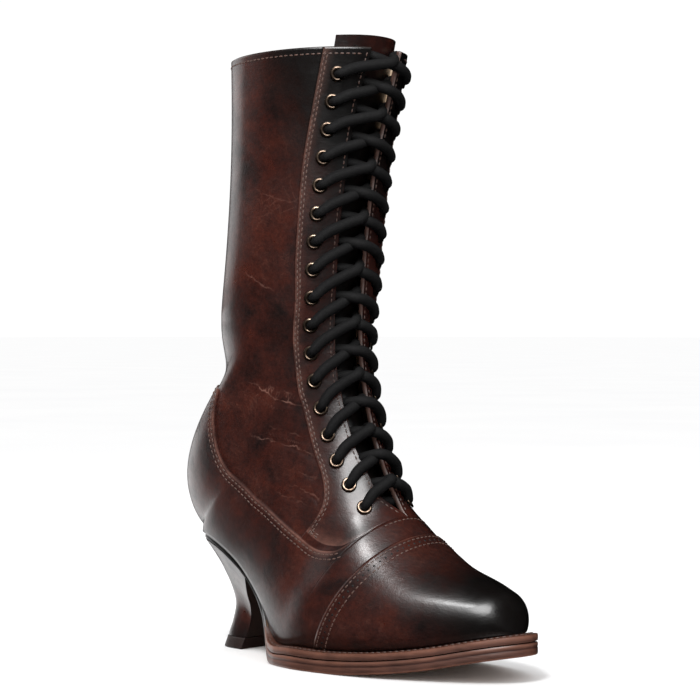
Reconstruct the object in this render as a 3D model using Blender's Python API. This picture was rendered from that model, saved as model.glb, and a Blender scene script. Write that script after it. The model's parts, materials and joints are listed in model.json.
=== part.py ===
"""Right-foot lace-up mid-calf boot with a waisted heel, built piece by piece as a shoemaker would.

Sizes are in millimetres and become metres when a mesh is made. X points to the toe, Z up and -Y to
the outer (lateral) side of the foot. The origin is on the floor under the heel. The upper is one form,
a fan of oval sections from the toe tip over the instep to the collar, cut off where the sole closes it.
"""

import math
from collections import namedtuple

import bmesh
import bpy
import numpy as np
from mathutils import Matrix, Vector

MM = 0.001
GAP = 0.3
WELD = 0.02
LATERAL, MEDIAL = -1, 1

# Leather thicknesses: the wall, and the steps of the panels that lie on it.
WALL = 1.9
FOXING_STEP = 1.0
CAP_STEP = 1.9
EYESTAY_STEP = 0.8
SEAM_WIDTH = 0.8
SEAM_HALF_U = 0.03
THROAT_MARGIN = 2.4
PINCH = 0.2
INSOLE_THICKNESS = 2.5
TONGUE_THICKNESS = 1.8
TONGUE_CLEARANCE = 4.6

# Rows of faces on each side of the upper: below the foxing seam, up to the eyestay, and on the eyestay.
FOXING_ROWS, QUARTER_ROWS, EYESTAY_ROWS = 5, 4, 2

# Sole. Each profile is read along the sections, from the toe tip to the back of the heel seat.
FLANGE = (
    (0.0, 7.5), (4.0, 8.0), (6.5, 8.0), (7.5, 6.8), (8.0, 5.2),
    (8.5, 3.0), (9.0, 1.0), (9.5, 0.0), (10.0, -0.4),
)
WELT_DEPTH = ((8.0, 3.6), (8.5, 1.5))
OUTSOLE_DROP = ((8.0, 4.2), (8.5, 2.1), (9.3, 0.3))
OUTSOLE_DEPTH = (
    (4.0, 6.4), (5.0, 6.9), (7.6, 6.9), (8.0, 6.4), (8.6, 5.0), (9.3, 4.2), (11.0, 3.2), (13.0, 2.8),
)
WELT_REAR_U = 8.5
WELT_INSIDE = 4.0
INSOLE_FIT = 1.5
HEEL_BREAST_U = 10.0
HEEL_INSET = 0.8
HEEL_BREAST_HOLLOW = 2.0
HEEL_BREAST_SHARES = (0.7, 0.3)

# Lacing.
EYELET_COUNT = 17
EYELET_OUTER_RADIUS = 3.8
EYELET_BORE_RADIUS = 2.0
EYELET_HEIGHT = 1.1
EYELET_CHAMFER = 0.6
EYELET_STEPS = 8
EYELET_LINE = (
    (7.9, 18.0), (9.0, 20.5), (10.0, 22.5), (12.0, 25.0),
    (14.0, 27.0), (17.0, 28.8), (20.0, 26.0), (21.0, 25.0),
)
EYELET_FIRST_U, EYELET_LAST_U = 7.95, 20.55
# How far the inner flap is laced across, from u to u; its edge keeps at least this share of its way.
INNER_SHIFT = (
    (7.0, 0.0), (8.0, 4.0), (9.0, 6.0), (10.0, 8.0), (12.0, 10.0), (14.0, 11.6),
    (16.0, 12.8), (17.0, 12.8), (18.0, 11.8), (19.0, 9.0), (20.0, 3.6), (21.0, -3.0),
)
INNER_LEAST = 0.15
LACE_RADIUS = 2.6
LACE_ARCH = 3.0
LACE_PARTS = 4
LACE_ROUNDNESS = 2

# Tongue: half its width along the sections, from under the vamp to above the collar.
TONGUE_STATIONS = (6.8, 7.4, 8.0, 9.0, 10.0, 11.0, 12.0, 13.0, 14.5, 16.0, 17.5, 19.0, 20.2, 21.2)
TONGUE_WIDTH = ((6.8, 14.0), (9.0, 24.0), (12.0, 28.0), (21.2, 29.0))
TONGUE_ROWS = 3

Section = namedtuple(
    "Section",
    "front_x front_z back_x back_z lateral medial centre_y cut_deg fullness foxing half_gap stay_line",
)
# A section runs from its back or bottom point to its front or top point. Lateral and medial are its half
# widths, cut_deg is where the sole cuts its oval, foxing is the seam's height as a share of the section,
# half_gap is half the throat's opening and stay_line the way from the front line to the eyestay's seam.
SECTIONS = (
    Section(180.0, 23.2, 180.0, 23.2, 0.0, 0.0, 4.5, 62.0, 0.80, 1.0, 0.0, 30.0),  # toe tip
    Section(175.5, 36.0, 172.5, 21.7, 14.0, 14.0, 4.8, 62.0, 0.80, 1.0, 0.0, 30.0),
    Section(167.5, 42.0, 159.5, 18.8, 23.0, 22.0, 5.2, 62.0, 0.80, 1.0, 0.0, 30.0),
    Section(156.5, 45.8, 142.0, 15.2, 31.8, 28.0, 5.8, 62.0, 0.80, 1.0, 0.0, 30.0),
    Section(142.5, 50.5, 121.0, 12.4, 40.0, 31.0, 6.0, 62.0, 0.80, 1.0, 0.0, 30.0),
    Section(131.0, 57.0, 101.5, 11.0, 44.0, 33.0, 6.0, 62.0, 0.80, 1.0, 0.0, 30.0),
    Section(119.5, 65.5, 84.0, 10.6, 45.2, 34.3, 5.4, 61.0, 0.81, 1.0, 0.0, 34.0),  # cap seam
    Section(109.5, 74.5, 68.0, 10.6, 44.0, 35.5, 4.0, 58.0, 0.83, 1.0, 0.0, 38.0),  # throat base
    Section(101.0, 85.0, 52.0, 11.8, 38.0, 35.0, 1.8, 57.0, 0.85, 0.645, 7.0, 60.0),
    Section(95.0, 97.0, 39.5, 27.0, 34.8, 32.5, 1.2, 54.0, 0.88, 0.545, 9.0, 38.5),
    Section(88.5, 112.0, 22.0, 45.0, 32.5, 31.0, 0.9, 52.0, 0.90, 0.447, 11.0, 31.8),
    Section(83.5, 130.0, 3.0, 56.5, 31.5, 30.5, 0.6, 49.0, 0.90, 0.383, 12.0, 33.2),
    Section(81.0, 143.0, -15.0, 61.5, 31.2, 30.8, 0.3, 34.5, 0.90, 0.381, 13.0, 34.4),
    Section(80.0, 152.0, -27.0, 64.5, 31.5, 31.5, 0.0, 0.0, 0.90, 0.383, 13.5, 36.0),  # heel seat's back
    Section(79.5, 166.0, -36.5, 86.0, 32.0, 32.0, 0.0, 0.0, 0.90, 0.373, 14.0, 37.0),
    Section(79.5, 180.0, -23.5, 115.5, 33.3, 33.3, 0.5, 0.0, 0.90, 0.32, 14.5, 37.7),
    Section(80.5, 196.0, -4.6, 138.5, 35.0, 35.0, 1.0, 0.0, 0.90, 0.05, 15.0, 38.0),  # foxing's back
    Section(82.0, 213.0, -6.4, 160.5, 36.8, 36.8, 1.0, 0.0, 0.90, 0.05, 15.3, 38.5),
    Section(84.0, 231.0, -3.5, 191.0, 38.0, 38.0, 1.0, 0.0, 0.90, 0.05, 15.0, 38.0),
    Section(86.5, 254.0, 0.0, 231.0, 38.0, 38.0, 1.5, 0.0, 0.90, 0.05, 14.0, 37.2),
    Section(91.0, 281.0, 2.0, 270.0, 39.5, 39.5, 2.0, 0.0, 0.90, 0.05, 13.0, 35.5),
    Section(97.0, 309.0, 2.0, 306.0, 41.6, 41.6, 2.5, 0.0, 0.90, 0.05, 10.0, 34.5),  # collar
)
CAP_U, THROAT_U, BACK_U, FOXING_BACK_U = 6.0, 7.0, 13.0, 16.0
POLE_U = 0.02
FORM_COLUMNS = 7
FRONT_SAMPLES, EYELET_SAMPLES = 120, 150

# Where the upper's mesh has its sections.
TOE_STATIONS = (0.0, 0.12, 0.35, 0.7, 1.2, 1.8, 2.5, 3.3, 4.1, 5.0)
VAMP_STATIONS = (6.5, 7.0)
INSTEP_STATIONS = (
    7.15, 7.35, 7.6, 8.0, 8.25, 8.5, 8.8, 9.15, 9.5, 10.0, 10.6, 11.2, 11.8, 12.3, 12.6, 12.85, 13.0,
)
COUNTER_STATIONS = (13.6, 14.2, 14.8, 15.3, 15.7)
SHAFT_STATIONS = (16.5, 17.2, 18.0, 18.7, 19.4, 19.8, 20.4, 21.0)
SOLE_STATIONS = TOE_STATIONS + (CAP_U,) + VAMP_STATIONS + INSTEP_STATIONS

HeelRing = namedtuple("HeelRing", "share back_x breast_x half_width")
# Rings of the heel, each at a share of the way from the flat base up to the seat.
HEEL_BASE_Z = 6.3
HEEL_RING_PARTS = 2
HEEL_RINGS = (
    HeelRing(0.0, -13.4, 7.0, 9.8),
    HeelRing(0.16, -10.4, 8.7, 8.9),
    HeelRing(0.34, -7.8, 10.6, 9.2),
    HeelRing(0.52, -10.0, 12.8, 12.0),
    HeelRing(0.72, -14.8, 15.5, 17.0),
    HeelRing(0.90, -21.5, 20.0, 22.5),
)
LIFT_HEIGHT = 6.0
LIFT_BOTTOM = HeelRing(0.0, -15.7, 5.2, 11.2)
LIFT_TOP = HeelRing(0.0, -13.8, 7.0, 10.2)


def curve_slopes(rows, even):
    """Slope of each column at each row: evenly bending for the first columns, local for the rest."""
    count = len(rows)
    system = np.eye(count) * 4 + np.eye(count, k=1) + np.eye(count, k=-1)
    system[0, 0] = system[-1, -1] = 2
    chords = np.empty_like(rows)
    chords[1:-1] = rows[2:] - rows[:-2]
    chords[0] = rows[1] - rows[0]
    chords[-1] = rows[-1] - rows[-2]
    slopes = chords / 2
    slopes[:, :even] = np.linalg.solve(system, 3 * chords[:, :even])
    return slopes


def curve_row(rows, slopes, u):
    """Row of a table at u along a smooth curve, and straight on past its end."""
    k = min(max(int(u), 0), len(rows) - 2)
    t = u - k
    if t > 1.0:
        return rows[-1] + slopes[-1] * (t - 1.0)
    start, end = rows[k], rows[k + 1]
    bend = 3 * (end - start) - 2 * slopes[k] - slopes[k + 1]
    twist = 2 * (start - end) + slopes[k] + slopes[k + 1]
    return start + slopes[k] * t + bend * t**2 + twist * t**3


def section_at(u):
    """Values of the section at u."""
    row = Section(*curve_row(SECTION_ROWS, SECTION_SLOPES, u))
    cut = row.cut_deg if u < BACK_U else 0.0
    return row._replace(
        cut_deg=max(cut, 0.0),
        foxing=min(max(row.foxing, 0.0), 1.0),
        half_gap=max(row.half_gap, 0.0) if u > THROAT_U else 0.0,
    )


def section_slopes():
    """Slopes of the section table, whose rows turn back on the far side of the toe tip."""
    mirror = np.array(SECTIONS[3:0:-1])
    mirror[:, 4:6] *= -1
    return curve_slopes(np.vstack((mirror, SECTION_ROWS)), FORM_COLUMNS)[len(mirror):]


SECTION_ROWS = np.array(SECTIONS)
SECTION_SLOPES = section_slopes()


def start_angle(row):
    """Angle at which the sole cuts the section's oval."""
    return math.radians(row.cut_deg)


def angle_at_share(row, share):
    """Angle on the oval at a share of the way from the section's back to its front."""
    cosine = math.cos(start_angle(row))
    return math.acos(min(max(cosine - share * (1 + cosine), -1.0), 1.0))


def form_point(u, angle, side):
    """Point of the form, in millimetres."""
    row = section_at(u)
    cosine = math.cos(start_angle(row))
    share = (cosine - math.cos(angle)) / (cosine + 1)
    power = row.fullness if angle < math.pi / 2 else 1.0
    width = row.lateral if side == LATERAL else row.medial
    bulge = round(math.sin(angle), 9) ** power
    return np.array(
        (
            row.back_x + share * (row.front_x - row.back_x),
            row.centre_y + side * width * bulge,
            row.back_z + share * (row.front_z - row.back_z),
        )
    )


def form_normal(u, angle, side):
    """Outward unit normal of the form."""
    if u < POLE_U:
        return np.array((1.0, 0.0, 0.0))
    step_u, step_angle = 0.02, 0.01
    low = max(angle - step_angle, start_angle(section_at(u)))
    high = min(angle + step_angle, math.pi)
    along = form_point(u + step_u, angle, side) - form_point(u - step_u, angle, side)
    around = form_point(u, high, side) - form_point(u, low, side)
    if angle >= math.pi - 1e-6 or angle <= 1e-6:
        around = np.array((0.0, 1.0, 0.0))
    normal = np.cross(along, around)
    row = section_at(u)
    middle = np.array(((row.front_x + row.back_x) / 2, row.centre_y, (row.front_z + row.back_z) / 2))
    if np.dot(normal, form_point(u, angle, side) - middle) < 0:
        normal = -normal
    return normal / np.linalg.norm(normal)


def skin_point(u, angle, side, offset):
    """Point at a distance from the form; along the sole's edge the distance is kept level."""
    normal = form_normal(u, angle, side)
    if angle <= start_angle(section_at(u)) + 1e-6 and u <= BACK_U:
        normal = np.array((normal[0], normal[1], 0.0))
        normal = normal / np.linalg.norm(normal)
    return form_point(u, angle, side) + normal * offset


def edge_point(u, side, offset):
    """Point of the sole's edge line, moved out by an offset."""
    return skin_point(u, start_angle(section_at(u)), side, offset)


def angle_from_front(u, side, distance):
    """Angle of the point at a distance along the surface from the front centre line."""
    angles = np.linspace(math.pi, math.pi / 6, FRONT_SAMPLES)
    points = np.array([form_point(u, angle, side) for angle in angles])
    lengths = np.concatenate(([0.0], np.cumsum(np.linalg.norm(np.diff(points, axis=0), axis=1))))
    return float(np.interp(distance, lengths, angles))


def angle_of_way(u, angle, side, way):
    """A short way along the section, as an angle."""
    step = 0.02
    reach = np.linalg.norm(form_point(u, angle, side) - form_point(u, angle - step, side))
    return way * step / max(reach, 1e-3)


class Shell:
    """A wall built of cells: each corner has an outer and an inner point, and open edges are closed."""

    def __init__(self):
        self.keys = {}
        self.outer = []
        self.inner = []
        self.cells = []

    def corner(self, base, outer, inner):
        key = tuple(np.round(base, 3) + 0.0)
        if key not in self.keys:
            self.keys[key] = len(self.outer)
            self.outer.append(outer)
            self.inner.append(inner)
        return self.keys[key]

    def cell(self, corners):
        loop = [c for k, c in enumerate(corners) if c != corners[k - 1]]
        if len(set(loop)) > 2:
            self.cells.append(loop)

    def grid(self, rows, side):
        for low, high in zip(rows, rows[1:]):
            for k in range(min(len(low), len(high)) - 1):
                loop = (low[k], low[k + 1], high[k + 1], high[k])
                self.cell(loop if side == LATERAL else loop[::-1])

    def faces(self):
        count = len(self.outer)
        edges = {}
        for loop in self.cells:
            for a, b in zip(loop, loop[1:] + loop[:1]):
                edges[(a, b)] = edges.get((a, b), 0) + 1
        result = [list(loop) for loop in self.cells]
        result += [[c + count for c in reversed(loop)] for loop in self.cells]
        for a, b in edges:
            if (b, a) not in edges:
                result.append([b, a, a + count, b + count])
        return result

    def points(self):
        return self.outer + self.inner


def collection(name):
    group = bpy.data.collections.new(name)
    bpy.context.scene.collection.children.link(group)
    return group


def material(name, color, roughness, metallic=0.0):
    item = bpy.data.materials.new(name)
    item.use_nodes = True
    item.diffuse_color = (*color, 1.0)
    shader = item.node_tree.nodes["Principled BSDF"]
    shader.inputs["Base Color"].default_value = (*color, 1.0)
    shader.inputs["Roughness"].default_value = roughness
    shader.inputs["Metallic"].default_value = metallic
    return item


def mesh_object(name, points, faces, look, group):
    """Closed mesh from points in millimetres, facing out."""
    mesh = bpy.data.meshes.new(name)
    mesh.from_pydata([tuple(MM * value for value in point) for point in points], [], faces)
    edit = bmesh.new()
    edit.from_mesh(mesh)
    bmesh.ops.recalc_face_normals(edit, faces=edit.faces)
    edit.to_mesh(mesh)
    edit.free()
    mesh.materials.append(look)
    item = bpy.data.objects.new(name, mesh)
    group.objects.link(item)
    return item


def upper_stations():
    """Sections of the upper's mesh, with the panel that lies on each below the seams."""
    stations = [(u, CAP_STEP) for u in TOE_STATIONS + (CAP_U - SEAM_HALF_U,)]
    stations += [(u, FOXING_STEP) for u in (CAP_U + SEAM_HALF_U,) + VAMP_STATIONS + INSTEP_STATIONS]
    stations += [(u, FOXING_STEP) for u in COUNTER_STATIONS + (FOXING_BACK_U - SEAM_HALF_U,)]
    stations += [(u, 0.0) for u in (FOXING_BACK_U + SEAM_HALF_U,) + SHAFT_STATIONS]
    return stations


def flap_way(u, side, way):
    """Way from the front centre line to a line of one flap."""
    return way if side == LATERAL else max(way - profile(INNER_SHIFT, u), INNER_LEAST * way)


def upper_angles(u, side):
    """Angles and panel steps up one side of a section: sole, foxing seam, eyestay seam, throat edge."""
    row = section_at(u)
    start = start_angle(row)
    if u <= THROAT_U:
        return [(angle, None) for angle in np.linspace(start, math.pi, FOXING_ROWS + 1)]
    edge = angle_from_front(u, side, flap_way(u, side, row.half_gap))
    foxing = angle_at_share(row, row.foxing)
    foxing = min(foxing, edge - angle_of_way(u, edge, side, THROAT_MARGIN))
    lowest = foxing + PINCH * (edge - foxing)
    stay = max(angle_from_front(u, side, flap_way(u, side, row.stay_line)), lowest)
    quarter = 0.0 if stay > lowest else EYESTAY_STEP
    low = angle_of_way(u, foxing, side, SEAM_WIDTH / 2)
    high = angle_of_way(u, stay, side, SEAM_WIDTH / 2)
    angles = [(angle, None) for angle in np.linspace(start, foxing - low, FOXING_ROWS + 1)]
    angles += [(angle, quarter) for angle in np.linspace(foxing + low, stay - high, QUARTER_ROWS + 1)]
    angles += [(angle, EYESTAY_STEP) for angle in np.linspace(stay + high, edge, EYESTAY_ROWS + 1)]
    return angles


def build_upper(look, group):
    """The whole upper as one wall, its panels standing as steps."""
    shell = Shell()
    for side in (LATERAL, MEDIAL):
        rows = []
        for u, panel in upper_stations():
            row = []
            for angle, step in upper_angles(u, side):
                lift = panel if step is None else step
                base = form_point(u, angle, side)
                outer = skin_point(u, angle, side, lift)
                row.append(shell.corner(base, outer, skin_point(u, angle, side, -WALL)))
            if u == THROAT_U:
                row += [row[-1]] * (QUARTER_ROWS + EYESTAY_ROWS + 2)
            rows.append(row)
        shell.grid(rows, side)
    return mesh_object("upper", shell.points(), shell.faces(), look, group)


def profile(table, u):
    """Value of a profile at u, straight between its rows."""
    return float(np.interp(u, [row[0] for row in table], [row[1] for row in table]))


def plate(name, stations, offset, top, bottom, look, group):
    """Plate across the foot between the two edges of the sole, given its outline, top and bottom by u."""
    points, faces = [], []
    for u in stations:
        for side in (LATERAL, MEDIAL):
            x, y, z = edge_point(u, side, offset(u))
            points += [(x, y, top(u, z)), (x, y, bottom(u, z))]
    for k in range(len(stations) - 1):
        a, b = 4 * k, 4 * k + 4
        faces += [(a, a + 2, b + 2, b), (a + 1, b + 1, b + 3, a + 3)]
        faces += [(a, b, b + 1, a + 1), (a + 2, a + 3, b + 3, b + 2)]
    item = mesh_object(name, points, faces, look, group)
    weld(item)
    return item


def weld(item):
    """Join the corners that lie on the same place, as at the ends of a plate."""
    edit = bmesh.new()
    edit.from_mesh(item.data)
    bmesh.ops.remove_doubles(edit, verts=edit.verts, dist=WELD * MM)
    bmesh.ops.recalc_face_normals(edit, faces=edit.faces)
    edit.to_mesh(item.data)
    edit.free()


def outsole_top(u, z):
    return z - profile(OUTSOLE_DROP, u)


def outsole_bottom(u, z):
    return max(outsole_top(u, z) - profile(OUTSOLE_DEPTH, u), 0.0)


def build_outsole(look, group):
    """One plate from toe to heel seat, flat under the ball of the foot."""
    return plate(
        "outsole",
        SOLE_STATIONS,
        lambda u: profile(FLANGE, u),
        outsole_top,
        outsole_bottom,
        look,
        group,
    )


def build_insole(look, group):
    """The board inside the upper, on the welt and the seat."""
    return plate(
        "insole",
        SOLE_STATIONS,
        lambda u: -WALL - INSOLE_FIT,
        lambda u, z: z + GAP + INSOLE_THICKNESS,
        lambda u, z: z + GAP,
        look,
        group,
    )


def build_welt(look, group):
    """Strip round the forefoot, from the lateral waist over the toe to the medial waist."""
    stations = [u for u in SOLE_STATIONS if u <= WELT_REAR_U]
    path = [(u, LATERAL) for u in reversed(stations)] + [(u, MEDIAL) for u in stations[1:]]
    points, faces = [], []
    for u, side in path:
        for offset in (profile(FLANGE, u), -WELT_INSIDE):
            x, y, z = edge_point(u, side, offset)
            points += [(x, y, z - GAP), (x, y, z - GAP - profile(WELT_DEPTH, u))]
    for k in range(len(path) - 1):
        a, b = 4 * k, 4 * k + 4
        faces += [(a, b, b + 2, a + 2), (a + 1, a + 3, b + 3, b + 1)]
        faces += [(a, a + 1, b + 1, b), (a + 2, b + 2, b + 3, a + 3)]
    last = 4 * (len(path) - 1)
    faces += [(0, 2, 3, 1), (last, last + 1, last + 3, last + 2)]
    return mesh_object("welt", points, faces, look, group)


def seat_ring():
    """The heel's top outline under the seat, with the middle of each breast third drawn in."""
    stations = [u for u in SOLE_STATIONS if u >= HEEL_BREAST_U]
    sides = []
    for side in (LATERAL, MEDIAL):
        line = []
        for u in stations:
            x, y, z = edge_point(u, side, -HEEL_INSET)
            line.append((x, y, outsole_bottom(u, z) - 2 * GAP))
        sides.append(line)
    lateral, medial = sides
    breast = []
    for share in HEEL_BREAST_SHARES:
        x, y, z = share * np.array(medial[0]) + (1 - share) * np.array(lateral[0])
        breast.append((x - HEEL_BREAST_HOLLOW, y, z))
    return lateral, medial, breast


def ring_points(ring, top, base):
    """A ring of the heel: the seat's outline drawn to the ring's own length and width."""
    front = top[0][0]
    length = front - min(point[0] for point in top)
    width = max(abs(point[1]) for point in top)
    points = []
    for x, y, z in top:
        px = ring.breast_x - (front - x) / length * (ring.breast_x - ring.back_x)
        points.append((px, y / width * ring.half_width, base + ring.share * (z - base)))
    return points


def ring_loft(name, rings, back, look, group):
    """Solid through rings of equal count; back is the count of points from the breast to the back."""
    count = len(rings[0])
    points = [point for ring in rings for point in ring]
    faces = []
    for k in range(len(rings) - 1):
        for a in range(count):
            b = (a + 1) % count
            faces.append((k * count + a, k * count + b, (k + 1) * count + b, (k + 1) * count + a))
    for start in (0, (len(rings) - 1) * count):
        far = 2 * back
        strips = [(k, k + 1, far - k - 1, far - k) for k in range(back - 1)]
        strips += [(back - 1, back, back + 1), (far, *range(far + 1, count), 0)]
        faces += [tuple(start + corner for corner in strip) for strip in strips]
    return mesh_object(name, points, faces, look, group)


def build_heel(look, lift_look, group):
    """The waisted heel and the wearing piece under it."""
    lateral, medial, breast = seat_ring()
    top = lateral + medial[-2::-1] + breast
    seat = HeelRing(1.0, min(point[0] for point in top), top[0][0], max(abs(point[1]) for point in top))
    rows = np.array(HEEL_RINGS + (seat,))
    slopes = curve_slopes(rows, 1)
    rings = []
    for k in range((len(rows) - 1) * HEEL_RING_PARTS + 1):
        ring = HeelRing(*curve_row(rows, slopes, k / HEEL_RING_PARTS))
        rings.append(ring_points(ring, top, HEEL_BASE_Z))
    ring_loft("heel", rings, len(lateral) - 1, look, group)
    lift = [ring_points(LIFT_BOTTOM, top, 0.0), ring_points(LIFT_TOP, top, LIFT_HEIGHT)]
    ring_loft("heel_top_lift", lift, len(lateral) - 1, lift_look, group)


def build_tongue(look, group):
    """Leather sheet behind the throat."""
    shell = Shell()
    depth = WALL + TONGUE_CLEARANCE
    for side in (LATERAL, MEDIAL):
        rows = []
        for u in TONGUE_STATIONS:
            edge = angle_from_front(u, side, profile(TONGUE_WIDTH, u))
            row = []
            for angle in np.linspace(edge, math.pi, TONGUE_ROWS + 1):
                outer = skin_point(u, angle, side, -depth)
                inner = skin_point(u, angle, side, -depth - TONGUE_THICKNESS)
                row.append(shell.corner(form_point(u, angle, side), outer, inner))
            rows.append(row)
        shell.grid(rows, side)
    return mesh_object("tongue", shell.points(), shell.faces(), look, group)


def front_point(u, distance, height):
    """Point and normal at a signed distance from the front centre line; minus is lateral."""
    side = LATERAL if distance < 0 else MEDIAL
    angle = angle_from_front(u, side, abs(distance))
    return skin_point(u, angle, side, height), form_normal(u, angle, side)


def eyelet_way(u, side):
    """Signed distance of a side's eyelets from the front centre line."""
    return side * flap_way(u, side, profile(EYELET_LINE, u))


def eyelet_stations():
    """Sections of the eyelets, evenly spaced along their line."""
    fine = np.linspace(EYELET_FIRST_U, EYELET_LAST_U, EYELET_SAMPLES)
    points = np.array([front_point(u, eyelet_way(u, LATERAL), 0.0)[0] for u in fine])
    lengths = np.concatenate(([0.0], np.cumsum(np.linalg.norm(np.diff(points, axis=0), axis=1))))
    return [float(np.interp(length, lengths, fine)) for length in np.linspace(0, lengths[-1], EYELET_COUNT)]


def build_eyelets(look, group):
    """Turned rings standing on the eyestays."""
    rim = EYELET_OUTER_RADIUS - EYELET_CHAMFER
    radii = (EYELET_OUTER_RADIUS, rim, EYELET_BORE_RADIUS, EYELET_BORE_RADIUS)
    heights = (0.0, EYELET_HEIGHT, EYELET_HEIGHT, 0.0)
    points, faces = [], []
    for step in range(EYELET_STEPS):
        turn = 2 * math.pi * step / EYELET_STEPS
        points += [(r * math.cos(turn), r * math.sin(turn), h) for r, h in zip(radii, heights)]
        for k in range(4):
            a, b = 4 * step, 4 * ((step + 1) % EYELET_STEPS)
            faces.append((a + k, b + k, b + (k + 1) % 4, a + (k + 1) % 4))
    first = None
    for name, side in (("lateral", LATERAL), ("medial", MEDIAL)):
        for number, u in enumerate(eyelet_stations(), 1):
            place, normal = front_point(u, eyelet_way(u, side), EYESTAY_STEP + GAP)
            label = f"eyelet_{name}_{number}"
            if first is None:
                first = mesh_object(label, points, faces, look, group)
                item = first
            else:
                item = bpy.data.objects.new(label, first.data)
                group.objects.link(item)
            turn = Vector(normal).to_track_quat("Z", "Y").to_matrix().to_4x4()
            item.matrix_world = Matrix.Translation(Vector(place) * MM) @ turn


def tube(name, path, radius, look, group):
    """Round tube along a path in millimetres, as a mesh."""
    curve = bpy.data.curves.new(name, "CURVE")
    curve.dimensions = "3D"
    curve.bevel_depth = radius * MM
    curve.bevel_resolution = LACE_ROUNDNESS
    curve.use_fill_caps = True
    spline = curve.splines.new("POLY")
    spline.points.add(len(path) - 1)
    for point, place in zip(spline.points, path):
        point.co = (*(MM * value for value in place), 1.0)
    source = bpy.data.objects.new(name, curve)
    group.objects.link(source)
    bpy.context.view_layer.update()
    mesh = bpy.data.meshes.new_from_object(source.evaluated_get(bpy.context.evaluated_depsgraph_get()))
    bpy.data.objects.remove(source)
    mesh.materials.clear()
    mesh.materials.append(look)
    item = bpy.data.objects.new(name, mesh)
    group.objects.link(item)
    weld(item)
    return item


def lace_path(first_side, stations):
    """Zigzag from eyelet to eyelet, arching over the throat."""
    rest = EYESTAY_STEP + GAP + EYELET_HEIGHT + GAP + LACE_RADIUS
    stops = []
    for k, u in enumerate(stations):
        side = first_side if k % 2 == 0 else -first_side
        stops.append((u, eyelet_way(u, side)))
    if first_side == LATERAL:
        stops.insert(0, (stations[0], eyelet_way(stations[0], MEDIAL)))
    path = []
    for (u0, d0), (u1, d1) in zip(stops, stops[1:]):
        for part in range(LACE_PARTS):
            t = part / LACE_PARTS
            height = rest + LACE_ARCH * math.sin(math.pi * t)
            path.append(front_point(u0 + (u1 - u0) * t, d0 + (d1 - d0) * t, height)[0])
    path.append(front_point(*stops[-1], rest)[0])
    return path


def build_lace(look, group, cutters):
    """Both runs of the lace, joined where they cross."""
    stations = eyelet_stations()
    lace = tube("lace", lace_path(LATERAL, stations), LACE_RADIUS, look, group)
    other = tube("lace_second_run", lace_path(MEDIAL, stations), LACE_RADIUS, look, cutters)
    other.hide_render = True
    other.display_type = "WIRE"
    join = lace.modifiers.new("crossings", "BOOLEAN")
    join.operation = "UNION"
    join.solver = "EXACT"
    join.object = other


def main():
    for item in list(bpy.data.objects):
        bpy.data.objects.remove(item)
    boot = collection("laced_boot")
    cutters = collection("cutters")
    leather = material("brown_leather", (0.085, 0.030, 0.020), 0.35)
    tongue_leather = material("tongue_leather", (0.045, 0.018, 0.014), 0.5)
    insole_leather = material("insole_leather", (0.45, 0.30, 0.18), 0.7)
    welt_leather = material("welt_leather", (0.14, 0.055, 0.035), 0.5)
    sole_leather = material("sole_leather", (0.12, 0.045, 0.030), 0.5)
    heel_leather = material("heel_leather", (0.075, 0.028, 0.020), 0.35)
    lift_rubber = material("lift_rubber", (0.02, 0.015, 0.013), 0.7)
    bronze = material("bronze", (0.10, 0.065, 0.04), 0.4, 1.0)
    cotton = material("black_cotton", (0.012, 0.012, 0.013), 0.8)
    build_upper(leather, boot)
    build_tongue(tongue_leather, boot)
    build_insole(insole_leather, boot)
    build_welt(welt_leather, boot)
    build_outsole(sole_leather, boot)
    build_heel(heel_leather, lift_rubber, boot)
    build_eyelets(bronze, boot)
    build_lace(cotton, boot, cutters)


main()
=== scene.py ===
"""Dress of a right-foot lace-up boot: leathers, seams, lacing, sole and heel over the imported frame.

Sizes are in millimetres in the boot's own frame, with X to the toe, Z up and -Y to the outer side of
the foot. They become metres when a mesh is made.
"""

import json
import logging
import math
from dataclasses import dataclass, field
from enum import Enum
from typing import NamedTuple, Sequence

import bmesh
import bpy
import numpy as np
from mathutils import Matrix, Vector
from mathutils.bvhtree import BVHTree

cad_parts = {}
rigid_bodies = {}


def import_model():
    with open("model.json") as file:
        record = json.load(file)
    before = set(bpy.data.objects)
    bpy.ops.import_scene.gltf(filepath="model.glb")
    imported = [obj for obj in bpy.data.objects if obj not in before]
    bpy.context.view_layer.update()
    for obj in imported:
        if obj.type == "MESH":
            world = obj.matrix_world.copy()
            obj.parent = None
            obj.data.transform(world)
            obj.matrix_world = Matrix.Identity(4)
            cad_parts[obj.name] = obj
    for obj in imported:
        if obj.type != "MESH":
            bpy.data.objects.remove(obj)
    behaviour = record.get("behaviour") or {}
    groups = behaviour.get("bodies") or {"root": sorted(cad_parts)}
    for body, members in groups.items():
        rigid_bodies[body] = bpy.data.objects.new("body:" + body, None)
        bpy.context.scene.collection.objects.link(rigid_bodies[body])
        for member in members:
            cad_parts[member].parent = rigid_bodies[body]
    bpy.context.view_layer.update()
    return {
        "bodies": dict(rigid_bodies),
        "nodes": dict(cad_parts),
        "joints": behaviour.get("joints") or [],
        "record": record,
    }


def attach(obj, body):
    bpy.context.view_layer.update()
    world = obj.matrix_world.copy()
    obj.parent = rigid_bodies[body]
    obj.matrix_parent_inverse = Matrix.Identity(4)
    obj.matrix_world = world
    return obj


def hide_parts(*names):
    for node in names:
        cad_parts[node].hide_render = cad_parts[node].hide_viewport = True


MM = 0.001
LOG = logging.getLogger("boot")

Array = np.ndarray
Arrays = tuple[np.ndarray, ...]
Pair = tuple[float, float]
Triple = tuple[float, float, float]
Colour = Triple
Table = tuple[tuple[float, float], ...]
Rings = tuple[tuple[float, float, float, float], ...]
Socket = bpy.types.NodeSocket
Material = bpy.types.Material

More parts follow.
